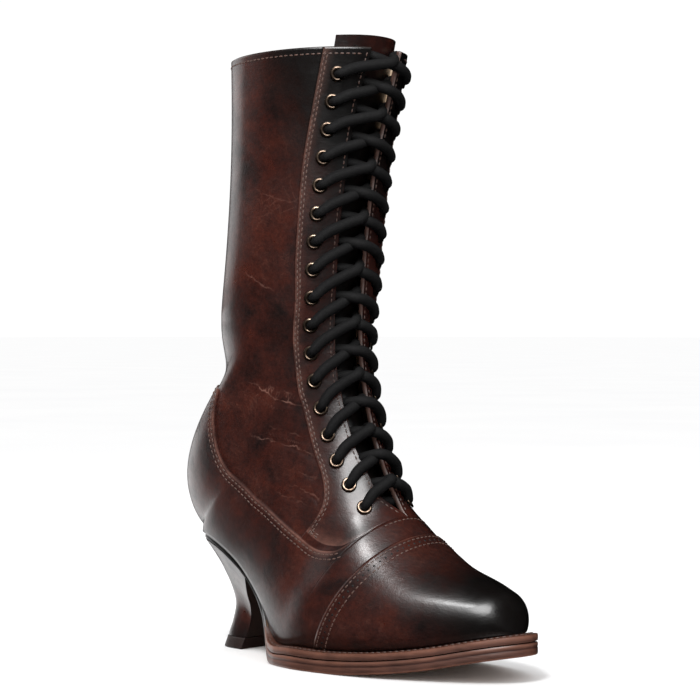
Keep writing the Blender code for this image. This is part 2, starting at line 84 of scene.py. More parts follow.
# The range that holds most values of a noise, and the whole range of a share.
MOST: Pair = (0.3, 0.7)
WHOLE: Pair = (0.0, 1.0)
WHITE: Colour = (1.0, 1.0, 1.0)
# Looks of a leather with no pale edges, folds or painted highlights.
UNMARKED = {"wear": 0.0, "fold": 0.0, "fold_side": 0.0}
# Columns of the sections that bend evenly, and those of the two half widths.
EVEN_COLUMNS = 7
WIDTH_COLUMNS = slice(4, 6)


class Side(Enum):
    """The outer and the inner side of the foot, as the sign of Y."""

    LATERAL = -1
    MEDIAL = 1


class Skin(Enum):
    """Material slots of a leather wall."""

    OUTSIDE = 0
    LINING = 1
    # Cut edges, and the lining inside the flaps painted dark as shade.
    CUT_EDGE = 2
    RIM = 3


class Section(NamedTuple):
    """One cross section of the form, or an array of each of its values."""

    front_x: Array
    front_z: Array
    back_x: Array
    back_z: Array
    lateral: Array
    medial: Array
    centre_y: Array
    cut_deg: Array
    fullness: Array
    half_gap: Array


# A section runs from its back or bottom point to its front or top point, in the order of Section's fields.
# Half_gap is half the throat's opening.
SECTIONS = (
    (180.0, 23.2, 180.0, 23.2, 0.0, 0.0, 4.5, 62.0, 0.80, 0.0),
    (175.5, 36.0, 172.5, 21.7, 14.0, 14.0, 4.8, 62.0, 0.80, 0.0),
    (167.5, 42.0, 159.5, 18.8, 23.0, 22.0, 5.2, 62.0, 0.80, 0.0),
    (156.5, 45.8, 142.0, 15.2, 31.8, 28.0, 5.8, 62.0, 0.80, 0.0),
    (142.5, 50.5, 121.0, 12.4, 40.0, 31.0, 6.0, 62.0, 0.80, 0.0),
    (131.0, 57.0, 101.5, 11.0, 44.0, 33.0, 6.0, 62.0, 0.80, 0.0),
    (119.5, 65.5, 84.0, 10.6, 45.2, 34.3, 5.4, 61.0, 0.81, 0.0),
    (109.5, 74.5, 68.0, 10.6, 44.0, 35.5, 4.0, 58.0, 0.83, 0.0),
    (101.0, 85.0, 52.0, 11.8, 38.0, 35.0, 1.8, 57.0, 0.85, 7.0),
    (95.0, 97.0, 39.5, 27.0, 34.8, 32.5, 1.2, 54.0, 0.88, 9.0),
    (88.5, 112.0, 22.0, 45.0, 32.5, 31.0, 0.9, 52.0, 0.90, 11.0),
    (83.5, 130.0, 3.0, 56.5, 31.5, 30.5, 0.6, 49.0, 0.90, 12.0),
    (81.0, 143.0, -15.0, 61.5, 31.2, 30.8, 0.3, 34.5, 0.90, 13.0),
    (80.0, 152.0, -27.0, 64.5, 31.5, 31.5, 0.0, 0.0, 0.90, 13.5),
    (79.5, 166.0, -36.5, 86.0, 32.0, 32.0, 0.0, 0.0, 0.90, 14.0),
    (79.5, 180.0, -23.5, 115.5, 33.3, 33.3, 0.5, 0.0, 0.90, 14.5),
    (80.5, 196.0, -4.6, 138.5, 35.0, 35.0, 1.0, 0.0, 0.90, 15.0),
    (82.0, 213.0, -6.4, 160.5, 36.8, 36.8, 1.0, 0.0, 0.90, 15.3),
    (84.0, 231.0, -3.5, 191.0, 38.0, 38.0, 1.0, 0.0, 0.90, 15.0),
    (86.5, 254.0, 0.0, 231.0, 38.0, 38.0, 1.5, 0.0, 0.90, 14.0),
    (91.0, 281.0, 2.0, 270.0, 39.5, 39.5, 2.0, 0.0, 0.90, 13.0),
    (97.0, 309.0, 2.0, 306.0, 41.6, 41.6, 2.5, 0.0, 0.90, 10.0),
)


def spline_slopes(rows: Array, even: int) -> Array:
    """Slopes of a table's columns at its rows.

    Args:
        rows: The table.
        even: How many of the first columns bend evenly; the rest follow their neighbours only.

    Returns:
        A slope for each value.
    """
    count = len(rows)
    system = np.eye(count) * 4 + np.eye(count, k=1) + np.eye(count, k=-1)
    system[0, 0] = system[-1, -1] = 2
    chords = np.empty_like(rows)
    chords[1:-1] = rows[2:] - rows[:-2]
    chords[0] = rows[1] - rows[0]
    chords[-1] = rows[-1] - rows[-2]
    slopes = chords / 2
    slopes[:, :even] = np.linalg.solve(system, 3 * chords[:, :even])
    return slopes


def spline_rows(rows: Array, slopes: Array, u: Array) -> Array:
    """Rows of a table on its smooth curve.

    Args:
        rows: The table.
        slopes: Its slopes.
        u: Places along the table, in rows.

    Returns:
        One row for each place, straight on past the last row.
    """
    k = np.clip(np.floor(u).astype(int), 0, len(rows) - 2)
    t = (u - k)[..., None]
    past = np.maximum(t - 1.0, 0.0)
    t = np.minimum(t, 1.0)
    start, end = rows[k], rows[k + 1]
    bend = 3 * (end - start) - 2 * slopes[k] - slopes[k + 1]
    twist = 2 * (start - end) + slopes[k] + slopes[k + 1]
    return start + slopes[k] * t + bend * t**2 + twist * t**3 + slopes[k + 1] * past


def profile(table: Table, u: Array) -> Array:
    """Values of a two-column profile, straight between its rows."""
    return np.interp(u, [row[0] for row in table], [row[1] for row in table])


def soft_profile(table: Table, u: Array) -> Array:
    """Values of a two-column profile on a smooth curve that never overshoots its rows.

    Args:
        table: Places and values.
        u: Where it is read.

    Returns:
        Values, held past the ends.
    """
    x, y = np.array(table).T
    chords = np.diff(y) / np.diff(x)
    slopes = np.zeros(len(x))
    same = chords[:-1] * chords[1:] > 0
    slopes[1:-1][same] = 2 * chords[:-1][same] * chords[1:][same] / (chords[:-1][same] + chords[1:][same])
    slopes[0], slopes[-1] = chords[0], chords[-1]
    u = np.clip(u, x[0], x[-1])
    k = np.clip(np.searchsorted(x, u, side="right") - 1, 0, len(x) - 2)
    width = x[k + 1] - x[k]
    t = (u - x[k]) / width
    rise = y[k + 1] - y[k]
    bend = 3 * rise - width * (2 * slopes[k] + slopes[k + 1])
    twist = width * (slopes[k] + slopes[k + 1]) - 2 * rise
    return y[k] + width * slopes[k] * t + bend * t**2 + twist * t**3


def unit(vectors: Array) -> Array:
    """Vectors of length one."""
    return vectors / np.maximum(np.linalg.norm(vectors, axis=-1, keepdims=True), 1e-9)


def smooth(low: float, high: float, value: Array) -> Array:
    """Soft step from 0 at low to 1 at high."""
    t = np.clip((value - low) / (high - low), 0.0, 1.0)
    return t * t * (3 - 2 * t)


def arc_lengths(points: Array) -> Array:
    """Way along a line of points, from its start to each of them."""
    return np.concatenate(([0.0], np.cumsum(np.linalg.norm(np.diff(points, axis=0), axis=1))))


def filled(first: Array, last: Array, count: int) -> Array:
    """Even steps from one line of values to another.

    Args:
        first: The first line.
        last: The last line.
        count: Steps, with both lines.

    Returns:
        A row of steps for each value of the lines.
    """
    return first[:, None] + np.linspace(0.0, 1.0, count)[None, :] * (last - first)[:, None]


@dataclass
class BootForm:
    """The form that the boot is lasted on, read at u along its sections and an angle round each.

    The angle is 0 at a section's back or bottom and pi at its front or top.
    """

    cap_u: float = 6.0
    throat_u: float = 7.0
    back_u: float = 13.0
    foxing_back_u: float = 16.0
    collar_u: float = 21.0
    pole_u: float = 0.02
    throat_margin: float = 2.4
    pinch: float = 0.08
    edge_blend: float = 0.3
    level_fade: float = 0.9
    mirrored_rows: int = 3
    probe_u: float = 0.02
    probe_angle: float = 0.01
    way_angle: float = 0.02
    front_reach: float = math.pi / 6
    front_steps: int = 160
    foxing_line: Table = (
        (7.0, 1.0), (7.02, 0.92), (7.05, 0.86), (7.11, 0.795), (7.27, 0.731), (7.72, 0.673), (8.23, 0.622),
        (8.78, 0.569), (9.58, 0.484), (10.26, 0.427), (10.94, 0.387), (11.74, 0.379), (12.87, 0.386),
        (13.49, 0.379), (13.92, 0.374), (14.36, 0.358), (14.77, 0.335), (15.02, 0.315), (15.5, 0.185),
        (16.0, 0.05), (21.0, 0.05),
    )
    stay_line: Table = (
        (8.78, 64.0), (8.86, 54.0), (8.92, 43.0), (9.07, 37.5), (9.31, 34.3), (9.65, 32.3), (10.0, 31.8),
        (10.4, 32.6), (11.0, 33.2), (12.0, 34.4), (13.0, 36.0), (14.0, 37.0), (15.0, 37.7), (16.0, 38.0),
        (17.0, 38.5), (18.0, 38.0), (19.0, 37.2), (20.0, 35.5), (21.0, 34.5),
    )
    inner_shift: Table = (
        (7.0, 0.0), (8.0, 4.0), (9.0, 6.0), (10.0, 8.0), (12.0, 10.0), (14.0, 11.6),
        (16.0, 12.8), (17.0, 12.8), (18.0, 11.8), (19.0, 9.0), (20.0, 3.6), (21.0, -3.0),
    )
    inner_least: float = 0.15
    table: Array = field(default_factory=lambda: np.array(SECTIONS))
    slopes: Array = field(init=False)

    def __post_init__(self) -> None:
        """Find the slopes; past the toe tip the sections turn back on the other side."""
        mirror = self.table[self.mirrored_rows:0:-1].copy()
        mirror[:, WIDTH_COLUMNS] *= -1
        self.slopes = spline_slopes(np.vstack((mirror, self.table)), EVEN_COLUMNS)[len(mirror):]

    def section(self, u: Array) -> Section:
        """Sections at u.

        Args:
            u: Places along the form.

        Returns:
            The sections' values, each an array of the shape of u.
        """
        u = np.asarray(u, dtype=float)
        row = Section(*np.moveaxis(spline_rows(self.table, self.slopes, u), -1, 0))
        return row._replace(
            cut_deg=np.where(u < self.back_u, np.maximum(row.cut_deg, 0.0), 0.0),
            half_gap=np.where(u > self.throat_u, np.maximum(row.half_gap, 0.0), 0.0),
        )

    def start(self, u: Array) -> Array:
        """Angles at which the sole cuts the sections."""
        return np.radians(self.section(u).cut_deg)

    def points(self, u: Array, angle: Array, side: Side) -> Array:
        """Points of the form.

        Args:
            u: Places along the form.
            angle: Angles round its sections, of the same shape.
            side: Side of the foot.

        Returns:
            Points, with one more axis for X, Y and Z.
        """
        row = self.section(u)
        cosine = np.cos(np.radians(row.cut_deg))
        share = (cosine - np.cos(angle)) / (cosine + 1)
        power = np.where(angle < math.pi / 2, row.fullness, 1.0)
        width = row.lateral if side is Side.LATERAL else row.medial
        bulge = np.clip(np.round(np.sin(angle), 9), 0.0, 1.0) ** power
        x = row.back_x + share * (row.front_x - row.back_x)
        y = row.centre_y + side.value * width * bulge
        z = row.back_z + share * (row.front_z - row.back_z)
        return np.stack((x, y, z), axis=-1)

    def normals(self, u: Array, angle: Array, side: Side) -> Array:
        """Outward normals of the form.

        Args:
            u: Places along the form.
            angle: Angles round its sections.
            side: Side of the foot.

        Returns:
            Unit vectors.
        """
        u, angle = np.broadcast_arrays(np.asarray(u, dtype=float), np.asarray(angle, dtype=float))
        low = np.maximum(angle - self.probe_angle, self.start(u))
        high = np.minimum(angle + self.probe_angle, math.pi)
        before = np.maximum(u - self.probe_u, 0.0)
        along = self.points(u + self.probe_u, angle, side) - self.points(before, angle, side)
        around = self.points(u, high, side) - self.points(u, low, side)
        middle_line = (angle >= math.pi - 1e-6) | (angle <= 1e-6)
        around[middle_line] = (0.0, 1.0, 0.0)
        normal = np.cross(along, around)
        row = self.section(u)
        middle = np.stack(((row.front_x + row.back_x) / 2, row.centre_y, (row.front_z + row.back_z) / 2), -1)
        inward = np.sum(normal * (self.points(u, angle, side) - middle), axis=-1) < 0
        normal[inward] *= -1
        normal[u < self.pole_u] = (1.0, 0.0, 0.0)
        return unit(normal)

    def skin(self, u: Array, angle: Array, side: Side, offset: Array | float) -> Array:
        """Points at a distance from the form, kept level along the sole's edge.

        Args:
            u: Places along the form.
            angle: Angles round its sections.
            side: Side of the foot.
            offset: Distances, outwards.

        Returns:
            Points.
        """
        u, angle = np.broadcast_arrays(np.asarray(u, dtype=float), np.asarray(angle, dtype=float))
        normal = self.normals(u, angle, side)
        rise = smooth(0.0, self.edge_blend, angle - self.start(u))
        level = 1.0 - smooth(self.back_u, self.back_u + self.level_fade, u)
        normal[..., 2] *= 1.0 - level * (1.0 - rise)
        return self.points(u, angle, side) + unit(normal) * np.asarray(offset)[..., None]

    def edge(self, u: Array, side: Side, offset: Array | float) -> Array:
        """Points of the sole's edge line, moved out by an offset."""
        return self.skin(u, self.start(u), side, offset)

    def front_angle(self, u: Array, side: Side, distance: Array | float) -> Array:
        """Angles at a distance along the surface from the front centre line.

        Args:
            u: Places along the form, in a row.
            side: Side of the foot.
            distance: Distances.

        Returns:
            Angles.
        """
        u = np.asarray(u, dtype=float)
        distance = np.broadcast_to(np.asarray(distance, dtype=float), u.shape)
        angles = np.linspace(math.pi, self.front_reach, self.front_steps)
        places = np.repeat(u[:, None], len(angles), axis=1)
        lines = self.points(places, np.tile(angles, (len(u), 1)), side)
        return np.array([np.interp(d, arc_lengths(line), angles) for d, line in zip(distance, lines)])

    def way(self, u: Array, angle: Array, side: Side, length: float) -> Array:
        """A short length along the section, as an angle.

        Args:
            u: Places along the form.
            angle: Angles it is measured down from.
            side: Side of the foot.
            length: The length.

        Returns:
            Angles.
        """
        below = self.points(u, angle - self.way_angle, side)
        reach = np.linalg.norm(self.points(u, angle, side) - below, axis=-1)
        return length * self.way_angle / np.maximum(reach, 1e-3)

    def flap_way(self, u: Array, side: Side, way: Array | float) -> Array | float:
        """Ways from the front centre line to a line of one flap; the inner flap is laced further across.

        Args:
            u: Places along the form.
            side: The flap's side.
            way: Ways on the outer flap.

        Returns:
            Ways on this flap.
        """
        if side is Side.LATERAL:
            return way
        return np.maximum(way - profile(self.inner_shift, u), self.inner_least * way)

    def throat(self, u: Array, side: Side) -> Array:
        """Angles of the throat's edge."""
        return self.front_angle(u, side, self.flap_way(u, side, self.section(u).half_gap))

    def foxing(self, u: Array, side: Side) -> Array:
        """Angles of the seam over the foxing.

        Args:
            u: Places behind the throat's base.
            side: Side of the foot.

        Returns:
            Angles.
        """
        cosine = np.cos(self.start(u))
        share = soft_profile(self.foxing_line, u)
        seam = np.arccos(np.clip(cosine - share * (1 + cosine), -1.0, 1.0))
        edge = self.throat(u, side)
        return np.minimum(seam, edge - self.way(u, edge, side, self.throat_margin))

    def stay(self, u: Array, side: Side) -> Array:
        """Angles of the seam behind the eyestay.

        Args:
            u: Places behind the throat's base.
            side: Side of the foot.

        Returns:
            Angles, never below the foxing's seam.
        """
        low = self.foxing(u, side)
        low = low + self.pinch * (self.throat(u, side) - low)
        way = self.flap_way(u, side, soft_profile(self.stay_line, u))
        return np.maximum(self.front_angle(u, side, way), low)


class Clouds(NamedTuple):
    """A cloudy noise: clouds in a metre, finer layers, their weight, and how far it is stirred."""

    scale: float
    detail: float = 4.0
    roughness: float = 0.55
    stir: float = 0.0


class Graph:
    """Node tree of one finish, with a short call for each kind of node it uses."""

    def __init__(self, name: str) -> None:
        """Start a material with its shader.

        Args:
            name: Name of the material.
        """
        self.material = bpy.data.materials.new(name)
        self.material.use_nodes = True
        self.tree = self.material.node_tree
        self.shader = self.tree.nodes["Principled BSDF"]

    def node(
        self, kind: str, output: str | int, inputs: dict[str | int, object], **settings: object
    ) -> Socket:
        """Add a node, set it and feed it.

        Args:
            kind: Blender's name of it, without the prefix.
            output: Name or number of the output that is used.
            inputs: Another node's output, a number or a colour for each input.
            settings: Attributes to set on it.

        Returns:
            The output.
        """
        item = self.tree.nodes.new("ShaderNode" + kind)
        for name, value in settings.items():
            setattr(item, name, value)
        for name, value in inputs.items():
            self.feed(item.inputs[name], value)
        return item.outputs[output]

    def feed(self, socket: Socket, value: object) -> None:
        """Link a socket, or set it if the value is a number or a colour.

        Args:
            socket: The socket.
            value: Another node's output, a number or a colour.
        """
        if isinstance(value, Socket):
            self.tree.links.new(value, socket)
        else:
            socket.default_value = value

    def place(
        self, turn: Triple = (0.0, 0.0, 0.0), scale: Triple = (1.0, 1.0, 1.0), source: str = "Object"
    ) -> Socket:
        """Object coordinates, or the piece's own map, turned about each axis and stretched along it."""
        vector = self.node("TexCoord", source, {})
        return self.node("Mapping", "Vector", {"Vector": vector, "Rotation": turn, "Scale": scale})

    def noise(self, vector: Socket, clouds: Clouds) -> Socket:
        """Cloudy noise, with values about one half."""
        names = ("Vector", "Scale", "Detail", "Roughness", "Distortion")
        return self.node("TexNoise", "Fac", dict(zip(names, (vector, *clouds))))

    def cells(self, vector: Socket, scale: float) -> Socket:
        """Distance to the nearest of a scatter of points, so many in a metre, as the grain of leather."""
        return self.node("TexVoronoi", "Distance", {"Vector": vector, "Scale": scale}, feature="F1")

    def ramp(self, value: Socket, stops: Sequence[float], *colours: Colour) -> Socket:
        """Colours along a value.

        Args:
            value: The value.
            stops: Places along it, in order.
            colours: The colour at each of them.

        Returns:
            The colour.
        """
        result = self.node("ValToRGB", "Color", {"Fac": value})
        points = result.node.color_ramp.elements
        while len(points) < len(stops):
            points.new(0.5)
        for point, place, colour in zip(points, stops, colours):
            point.position = place
            point.color = (*colour, 1.0)
        return result

    def span(self, value: Socket, source: Pair, target: Pair) -> Socket:
        """A value moved from one range to another and held inside it."""
        names = ("Value", "From Min", "From Max", "To Min", "To Max")
        return self.node("MapRange", "Result", dict(zip(names, (value, *source, *target))))

    def math(self, operation: str, first: object, second: object) -> Socket:
        """A sum, product or the like of two values, by Blender's name of it."""
        return self.node("Math", 0, {0: first, 1: second}, operation=operation)

    def blend(self, *parts: tuple[Socket, float]) -> Socket:
        """Weighted sum of values.

        Args:
            parts: Values and their weights.

        Returns:
            The sum.
        """
        total, *others = [self.math("MULTIPLY", value, weight) for value, weight in parts]
        for other in others:
            total = self.math("ADD", total, other)
        return total

    def mix(self, share: object, first: object, second: object, blend: str = "MIX") -> Socket:
        """Two colours mixed, by the share of the second."""
        first, second = ((*c, 1.0) if isinstance(c, tuple) else c for c in (first, second))
        return self.node("Mix", 2, {"Factor": share, 6: first, 7: second}, data_type="RGBA", blend_type=blend)

    def attribute(self, name: str) -> Socket:
        """A value kept on the piece's points."""
        return self.node("Attribute", "Fac", {}, attribute_name=name)

    def bump(self, height: Socket, depth: float, strength: float) -> None:
        """Give the shader a relief: heights from 0 to 1, their depth in millimetres and its weight."""
        inputs = {"Strength": strength, "Distance": depth * MM, "Height": height}
        self.feed(self.shader.inputs["Normal"], self.node("Bump", "Normal", inputs))

    def surface(self, colour: Socket, roughness: Socket) -> None:
        """Give the shader its colour and roughness."""
        self.feed(self.shader.inputs["Base Color"], colour)
        self.feed(self.shader.inputs["Roughness"], roughness)

    def constant(self, name: str, value: float) -> None:
        """Set one of the shader's constant sockets."""
        self.shader.inputs[name].default_value = value

    def coat(self, weight: float, roughness: float) -> None:
        """Lay a clear polish over the finish."""
        self.constant("Coat Weight", weight)
        self.constant("Coat Roughness", roughness)


@dataclass(frozen=True)
class BurnishedLeather:
    """Polished calf, mottled by hand dyeing, darkened where it is burnished and where shade is painted on it.
    """

    name: str
    deep: Colour = (0.0150, 0.0042, 0.0032)
    brown: Colour = (0.0400, 0.0080, 0.0049)
    warm: Colour = (0.0640, 0.0130, 0.0070)
    vein: Colour = (0.1250, 0.0440, 0.0280)
    worn_and_highlight: Colour = (0.2200, 0.1020, 0.0760)
    black: Colour = (0.0048, 0.0032, 0.0028)
    speck_tint: Colour = (0.70, 0.66, 0.64)
    dye_stops: Triple = (0.37, 0.50, 0.63)
    dye_weights: Pair = (0.66, 0.34)
    mottle: Clouds = Clouds(26.0, 5.0, 0.62, 0.6)
    blotch: Clouds = Clouds(85.0, 4.0, 0.6, 0.4)
    blotch_turn: Triple = (0.4, 0.9, 0.2)
    speck: Clouds = Clouds(520.0, 3.0, 0.6)
    speck_stops: Pair = (0.32, 0.62)
    crack: Clouds = Clouds(48.0, 6.0, 0.62, 1.4)
    crack_width: float = 0.012
    crack_share: float = 0.34
    crack_clouds: Pair = (0.45, 0.62)
    ragged: Pair = (-0.16, 0.16)
    burnish_and_shade_range: Pair = (0.08, 0.92)
    wear_blotches: Pair = (0.36, 0.6)
    wear_share: Pair = (0.25, 0.85)
    fold_drift: Clouds = Clouds(210.0, 3.0, 0.6)
    fold_drift_range: Pair = (-2.1, 0.5)
    fold_width: Pair = (0.05, 0.55)
    fold_break: Clouds = Clouds(130.0)
    fold_break_range: Pair = (0.40, 0.58)
    fold_break_share: Pair = (0.1, 1.0)
    wrinkle: Clouds = Clouds(240.0, 4.0, 0.6, 0.8)
    wrinkle_turn: Triple = (0.0, 0.6, 0.0)
    wrinkle_stretch: Triple = (1.0, 1.0, 2.2)
    swell: Clouds = Clouds(95.0, 2.0, 0.5, 0.5)
    swell_turn: Triple = (0.3, 0.0, 0.5)
    swell_stretch: Triple = (1.0, 1.0, 1.6)
    pore_scale: float = 1500.0
    relief_weights: Triple = (0.40, 0.9, 1.6)
    grain_depth: float = 0.28
    grain_strength: float = 0.35
    gloss: float = 0.34
    gloss_play: float = 0.07
    mirror: float = 0.35
    polish: float = 0.45
    polish_roughness: float = 0.22

    def make(self) -> Material:
        """Build the material.

        Returns:
            The leather.
        """
        graph = Graph(self.name)
        place = graph.place()
        clouds = graph.noise(place, self.mottle)
        blotches = graph.noise(graph.place(self.blotch_turn), self.blotch)
        # Edges pale from use; folds pale from use and as painted highlights.
        rubbed_and_lit = graph.math("MAXIMUM", self.edges(graph, blotches), self.folds(graph, place))
        colour = graph.mix(rubbed_and_lit, self.dye(graph, place, clouds, blotches), self.worn_and_highlight)
        shine = graph.span(blotches, MOST, (self.gloss + self.gloss_play, self.gloss - self.gloss_play))
        graph.surface(colour, shine)
        heights = (
            graph.cells(place, self.pore_scale),
            graph.noise(graph.place(self.wrinkle_turn, self.wrinkle_stretch), self.wrinkle),
            graph.noise(graph.place(self.swell_turn, self.swell_stretch), self.swell),
        )
        graph.bump(graph.blend(*zip(heights, self.relief_weights)), self.grain_depth, self.grain_strength)
        graph.constant("Specular IOR Level", self.mirror)
        graph.coat(self.polish, self.polish_roughness)
        return graph.material

    def dye(self, graph: Graph, place: Socket, clouds: Socket, blotches: Socket) -> Socket:
        """Mottled dye with specks and fine cracks, black where it is burnished and where shade is painted.

        Args:
            graph: The leather's nodes.
            place: Object coordinates.
            clouds: The wide mottling.
            blotches: The narrow mottling.

        Returns:
            The colour.
        """
        tone = graph.blend(*zip((clouds, blotches), self.dye_weights))
        dye = graph.ramp(tone, self.dye_stops, self.deep, self.brown, self.warm)
        specks = graph.ramp(graph.noise(place, self.speck), self.speck_stops, self.speck_tint, WHITE)
        dye = graph.mix(1.0, dye, specks, "MULTIPLY")
        ridge = graph.math("ABSOLUTE", graph.math("SUBTRACT", graph.noise(place, self.crack), 0.5), 0.0)
        line = graph.span(ridge, (0.0, self.crack_width), (self.crack_share, 0.0))
        crackle = graph.math("MULTIPLY", line, graph.span(clouds, self.crack_clouds, WHOLE))
        dye = graph.mix(crackle, dye, self.vein)
        # The darkening attribute turns the dye black, for burnished leather and for painted shade on the
        # tongue and along the sole.
        ragged = graph.math("ADD", graph.attribute("burnish"), graph.span(clouds, MOST, self.ragged))
        return graph.mix(graph.span(ragged, self.burnish_and_shade_range, WHOLE), dye, self.black)

    def edges(self, graph: Graph, blotches: Socket) -> Socket:
        """How pale the panels' edges are from use."""
        broken = graph.span(blotches, self.wear_blotches, self.wear_share)
        return graph.math("MULTIPLY", graph.attribute("wear"), broken)

    def folds(self, graph: Graph, place: Socket) -> Socket:
        """How pale the folds are, from use and as a painted highlight, along a broken line that drifts beside
        each of them.

        Args:
            graph: The leather's nodes.
            place: Object coordinates.

        Returns:
            Values from 0 to 1.
        """
        drift = graph.span(graph.noise(place, self.fold_drift), (0.25, 0.75), self.fold_drift_range)
        beside = graph.math("ABSOLUTE", graph.math("ADD", graph.attribute("fold_side"), drift), 0.0)
        line = graph.span(beside, self.fold_width, (1.0, 0.0))
        breaks = graph.span(graph.noise(place, self.fold_break), self.fold_break_range, self.fold_break_share)
        return graph.math("MULTIPLY", graph.math("MULTIPLY", graph.attribute("fold"), line), breaks)


@dataclass(frozen=True)
class PlainLeather:
    """Leather with an open surface, as a lining, a sock or the cut edge of a wall."""

    name: str
    dark: Colour
    light: Colour
    gloss: float = 0.6
    gloss_play: Pair = (-0.06, 0.08)
    stops: Pair = (0.32, 0.68)
    weights: Pair = (0.6, 0.4)
    mottle: Clouds = Clouds(38.0, 5.0, 0.6, 0.3)
    fibre: Clouds = Clouds(420.0, 4.0, 0.65, 0.3)
    pore_scale: float = 1300.0
    depth: float = 0.2
    strength: float = 0.3

    def make(self) -> Material:
        """Build the material.

        Returns:
            The leather.
        """
        graph = Graph(self.name)
        place = graph.place()
        clouds, fibre = graph.noise(place, self.mottle), graph.noise(place, self.fibre)
        tone = graph.blend(*zip((clouds, fibre), self.weights))
        colour = graph.ramp(tone, self.stops, self.dark, self.light)
        low, high = self.gloss_play
        graph.surface(colour, graph.span(clouds, MOST, (self.gloss + low, self.gloss + high)))
        graph.bump(graph.math("ADD", fibre, graph.cells(place, self.pore_scale)), self.depth, self.strength)
        return graph.material


@dataclass(frozen=True)
class SoleLeather:
    """Trimmed edge of bend leather: layers of fibre along it, waxed, pale from use on its corners, with pale
    lines along it painted as highlights.
    """

    name: str
    dark: Colour = (0.020, 0.0062, 0.0040)
    light: Colour = (0.084, 0.0260, 0.0158)
    worn_and_highlight: Colour = (0.190, 0.073, 0.043)
    black: Colour = (0.0050, 0.0028, 0.0024)
    stops: Pair = (0.34, 0.66)
    weights: Pair = (0.6, 0.4)
    layer: Clouds = Clouds(70.0, 5.0, 0.65, 0.1)
    layer_stretch: Triple = (1.0, 1.0, 14.0)
    patch: Clouds = Clouds(45.0, 4.0, 0.6, 0.4)
    wear_patches: Pair = (0.3, 0.6)
    wear_share: Pair = (0.35, 1.0)
    gloss: Pair = (0.32, 0.48)
    depth: float = 0.25
    strength: float = 0.35
    wax: float = 0.12
    wax_roughness: float = 0.25

    def make(self) -> Material:
        """Build the material.

        Returns:
            The leather.
        """
        graph = Graph(self.name)
        layers = graph.noise(graph.place(scale=self.layer_stretch), self.layer)
        patches = graph.noise(graph.place(), self.patch)
        tone = graph.blend(*zip((layers, patches), self.weights))
        colour = graph.ramp(tone, self.stops, self.dark, self.light)
        broken = graph.span(patches, self.wear_patches, self.wear_share)
        # Pale corners from use, and pale lines painted as highlights along the edge.
        colour = graph.mix(graph.math("MULTIPLY", graph.attribute("wear"), broken), colour, self.worn_and_highlight)
        colour = graph.mix(graph.attribute("burnish"), colour, self.black)
        graph.surface(colour, graph.span(layers, MOST, self.gloss))
        graph.bump(layers, self.depth, self.strength)
        graph.coat(self.wax, self.wax_roughness)
        return graph.material


@dataclass(frozen=True)
class BraidedCotton:
    """Waxed black braid: strands that cross on the slant, read along the lace's own map."""

    name: str
    black: Colour = (0.0010, 0.0009, 0.0011)
    grey: Colour = (0.0050, 0.0042, 0.0050)
    stops: Pair = (0.25, 0.85)
    weights: Pair = (0.6, 0.4)
    turns: float = 8.0
    slant_deg: float = 35.0
    stir: float = 0.6
    fuzz: Clouds = Clouds(900.0, 3.0, 0.6)
    gloss: Pair = (0.62, 0.82)
    mirror: float = 0.2
    depth: float = 0.35
    strength: float = 0.7

    def make(self) -> Material:
        """Build the material.

        Returns:
            The cotton.
        """
        graph = Graph(self.name)
        strands = [self.strand(graph, math.radians(slant)) for slant in (self.slant_deg, -self.slant_deg)]
        fuzz = graph.noise(graph.place(), self.fuzz)
        tone = graph.blend(*zip((graph.math("MAXIMUM", *strands), fuzz), self.weights))
        colour = graph.ramp(tone, self.stops, self.black, self.grey)
        graph.surface(colour, graph.span(fuzz, MOST, self.gloss))
        graph.bump(tone, self.depth, self.strength)
        graph.constant("Specular IOR Level", self.mirror)
        return graph.material

    def strand(self, graph: Graph, slant: float) -> Socket:
        """Bands of one way of the strands.

        Args:
            graph: The cotton's nodes.
            slant: Turn of the bands on the map.

        Returns:
            Values from 0 to 1.
        """
        place = graph.place((0.0, 0.0, slant), source="UV")
        inputs = {"Vector": place, "Scale": self.turns, "Distortion": self.stir}
        return graph.node("TexWave", "Fac", inputs, wave_type="BANDS", bands_direction="X")


@dataclass(frozen=True)
class AgedBronze:
    """Turned brass gone brown, rubbed brighter here and there."""

    name: str
    dark: Colour = (0.080, 0.055, 0.041)
    bright: Colour = (0.310, 0.230, 0.170)
    stops: Pair = (0.38, 0.72)
    spot: Clouds = Clouds(420.0, 4.0, 0.6, 0.3)
    scratch: Clouds = Clouds(1600.0, 3.0, 0.6)
    gloss: Pair = (0.42, 0.26)
    depth: float = 0.05
    strength: float = 0.3

    def make(self) -> Material:
        """Build the material.

        Returns:
            The bronze.
        """
        graph = Graph(self.name)
        spots = graph.noise(graph.place(), self.spot)
        colour = graph.ramp(spots, self.stops, self.dark, self.bright)
        graph.surface(colour, graph.span(spots, MOST, self.gloss))
        graph.constant("Metallic", 1.0)
        graph.bump(graph.noise(graph.place(), self.scratch), self.depth, self.strength)
        return graph.material


@dataclass(frozen=True)
class Thread:
    """Twisted sewing thread."""

    name: str
    dark: Colour = (0.040, 0.016, 0.011)
    light: Colour = (0.155, 0.074, 0.051)
    stops: Pair = (0.35, 0.65)
    twist: Clouds = Clouds(1300.0, 2.0, 0.5)
    twist_turn: Triple = (0.7, 0.3, 0.5)
    twist_stretch: Triple = (1.0, 1.0, 2.5)
    gloss: Pair = (0.45, 0.65)
    depth: float = 0.1
    strength: float = 0.5

    def make(self) -> Material:
        """Build the material.

        Returns:
            The thread.
        """
        graph = Graph(self.name)
        twist = graph.noise(graph.place(self.twist_turn, self.twist_stretch), self.twist)
        colour = graph.ramp(twist, self.stops, self.dark, self.light)
        graph.surface(colour, graph.span(twist, MOST, self.gloss))
        graph.bump(twist, self.depth, self.strength)
        return graph.material


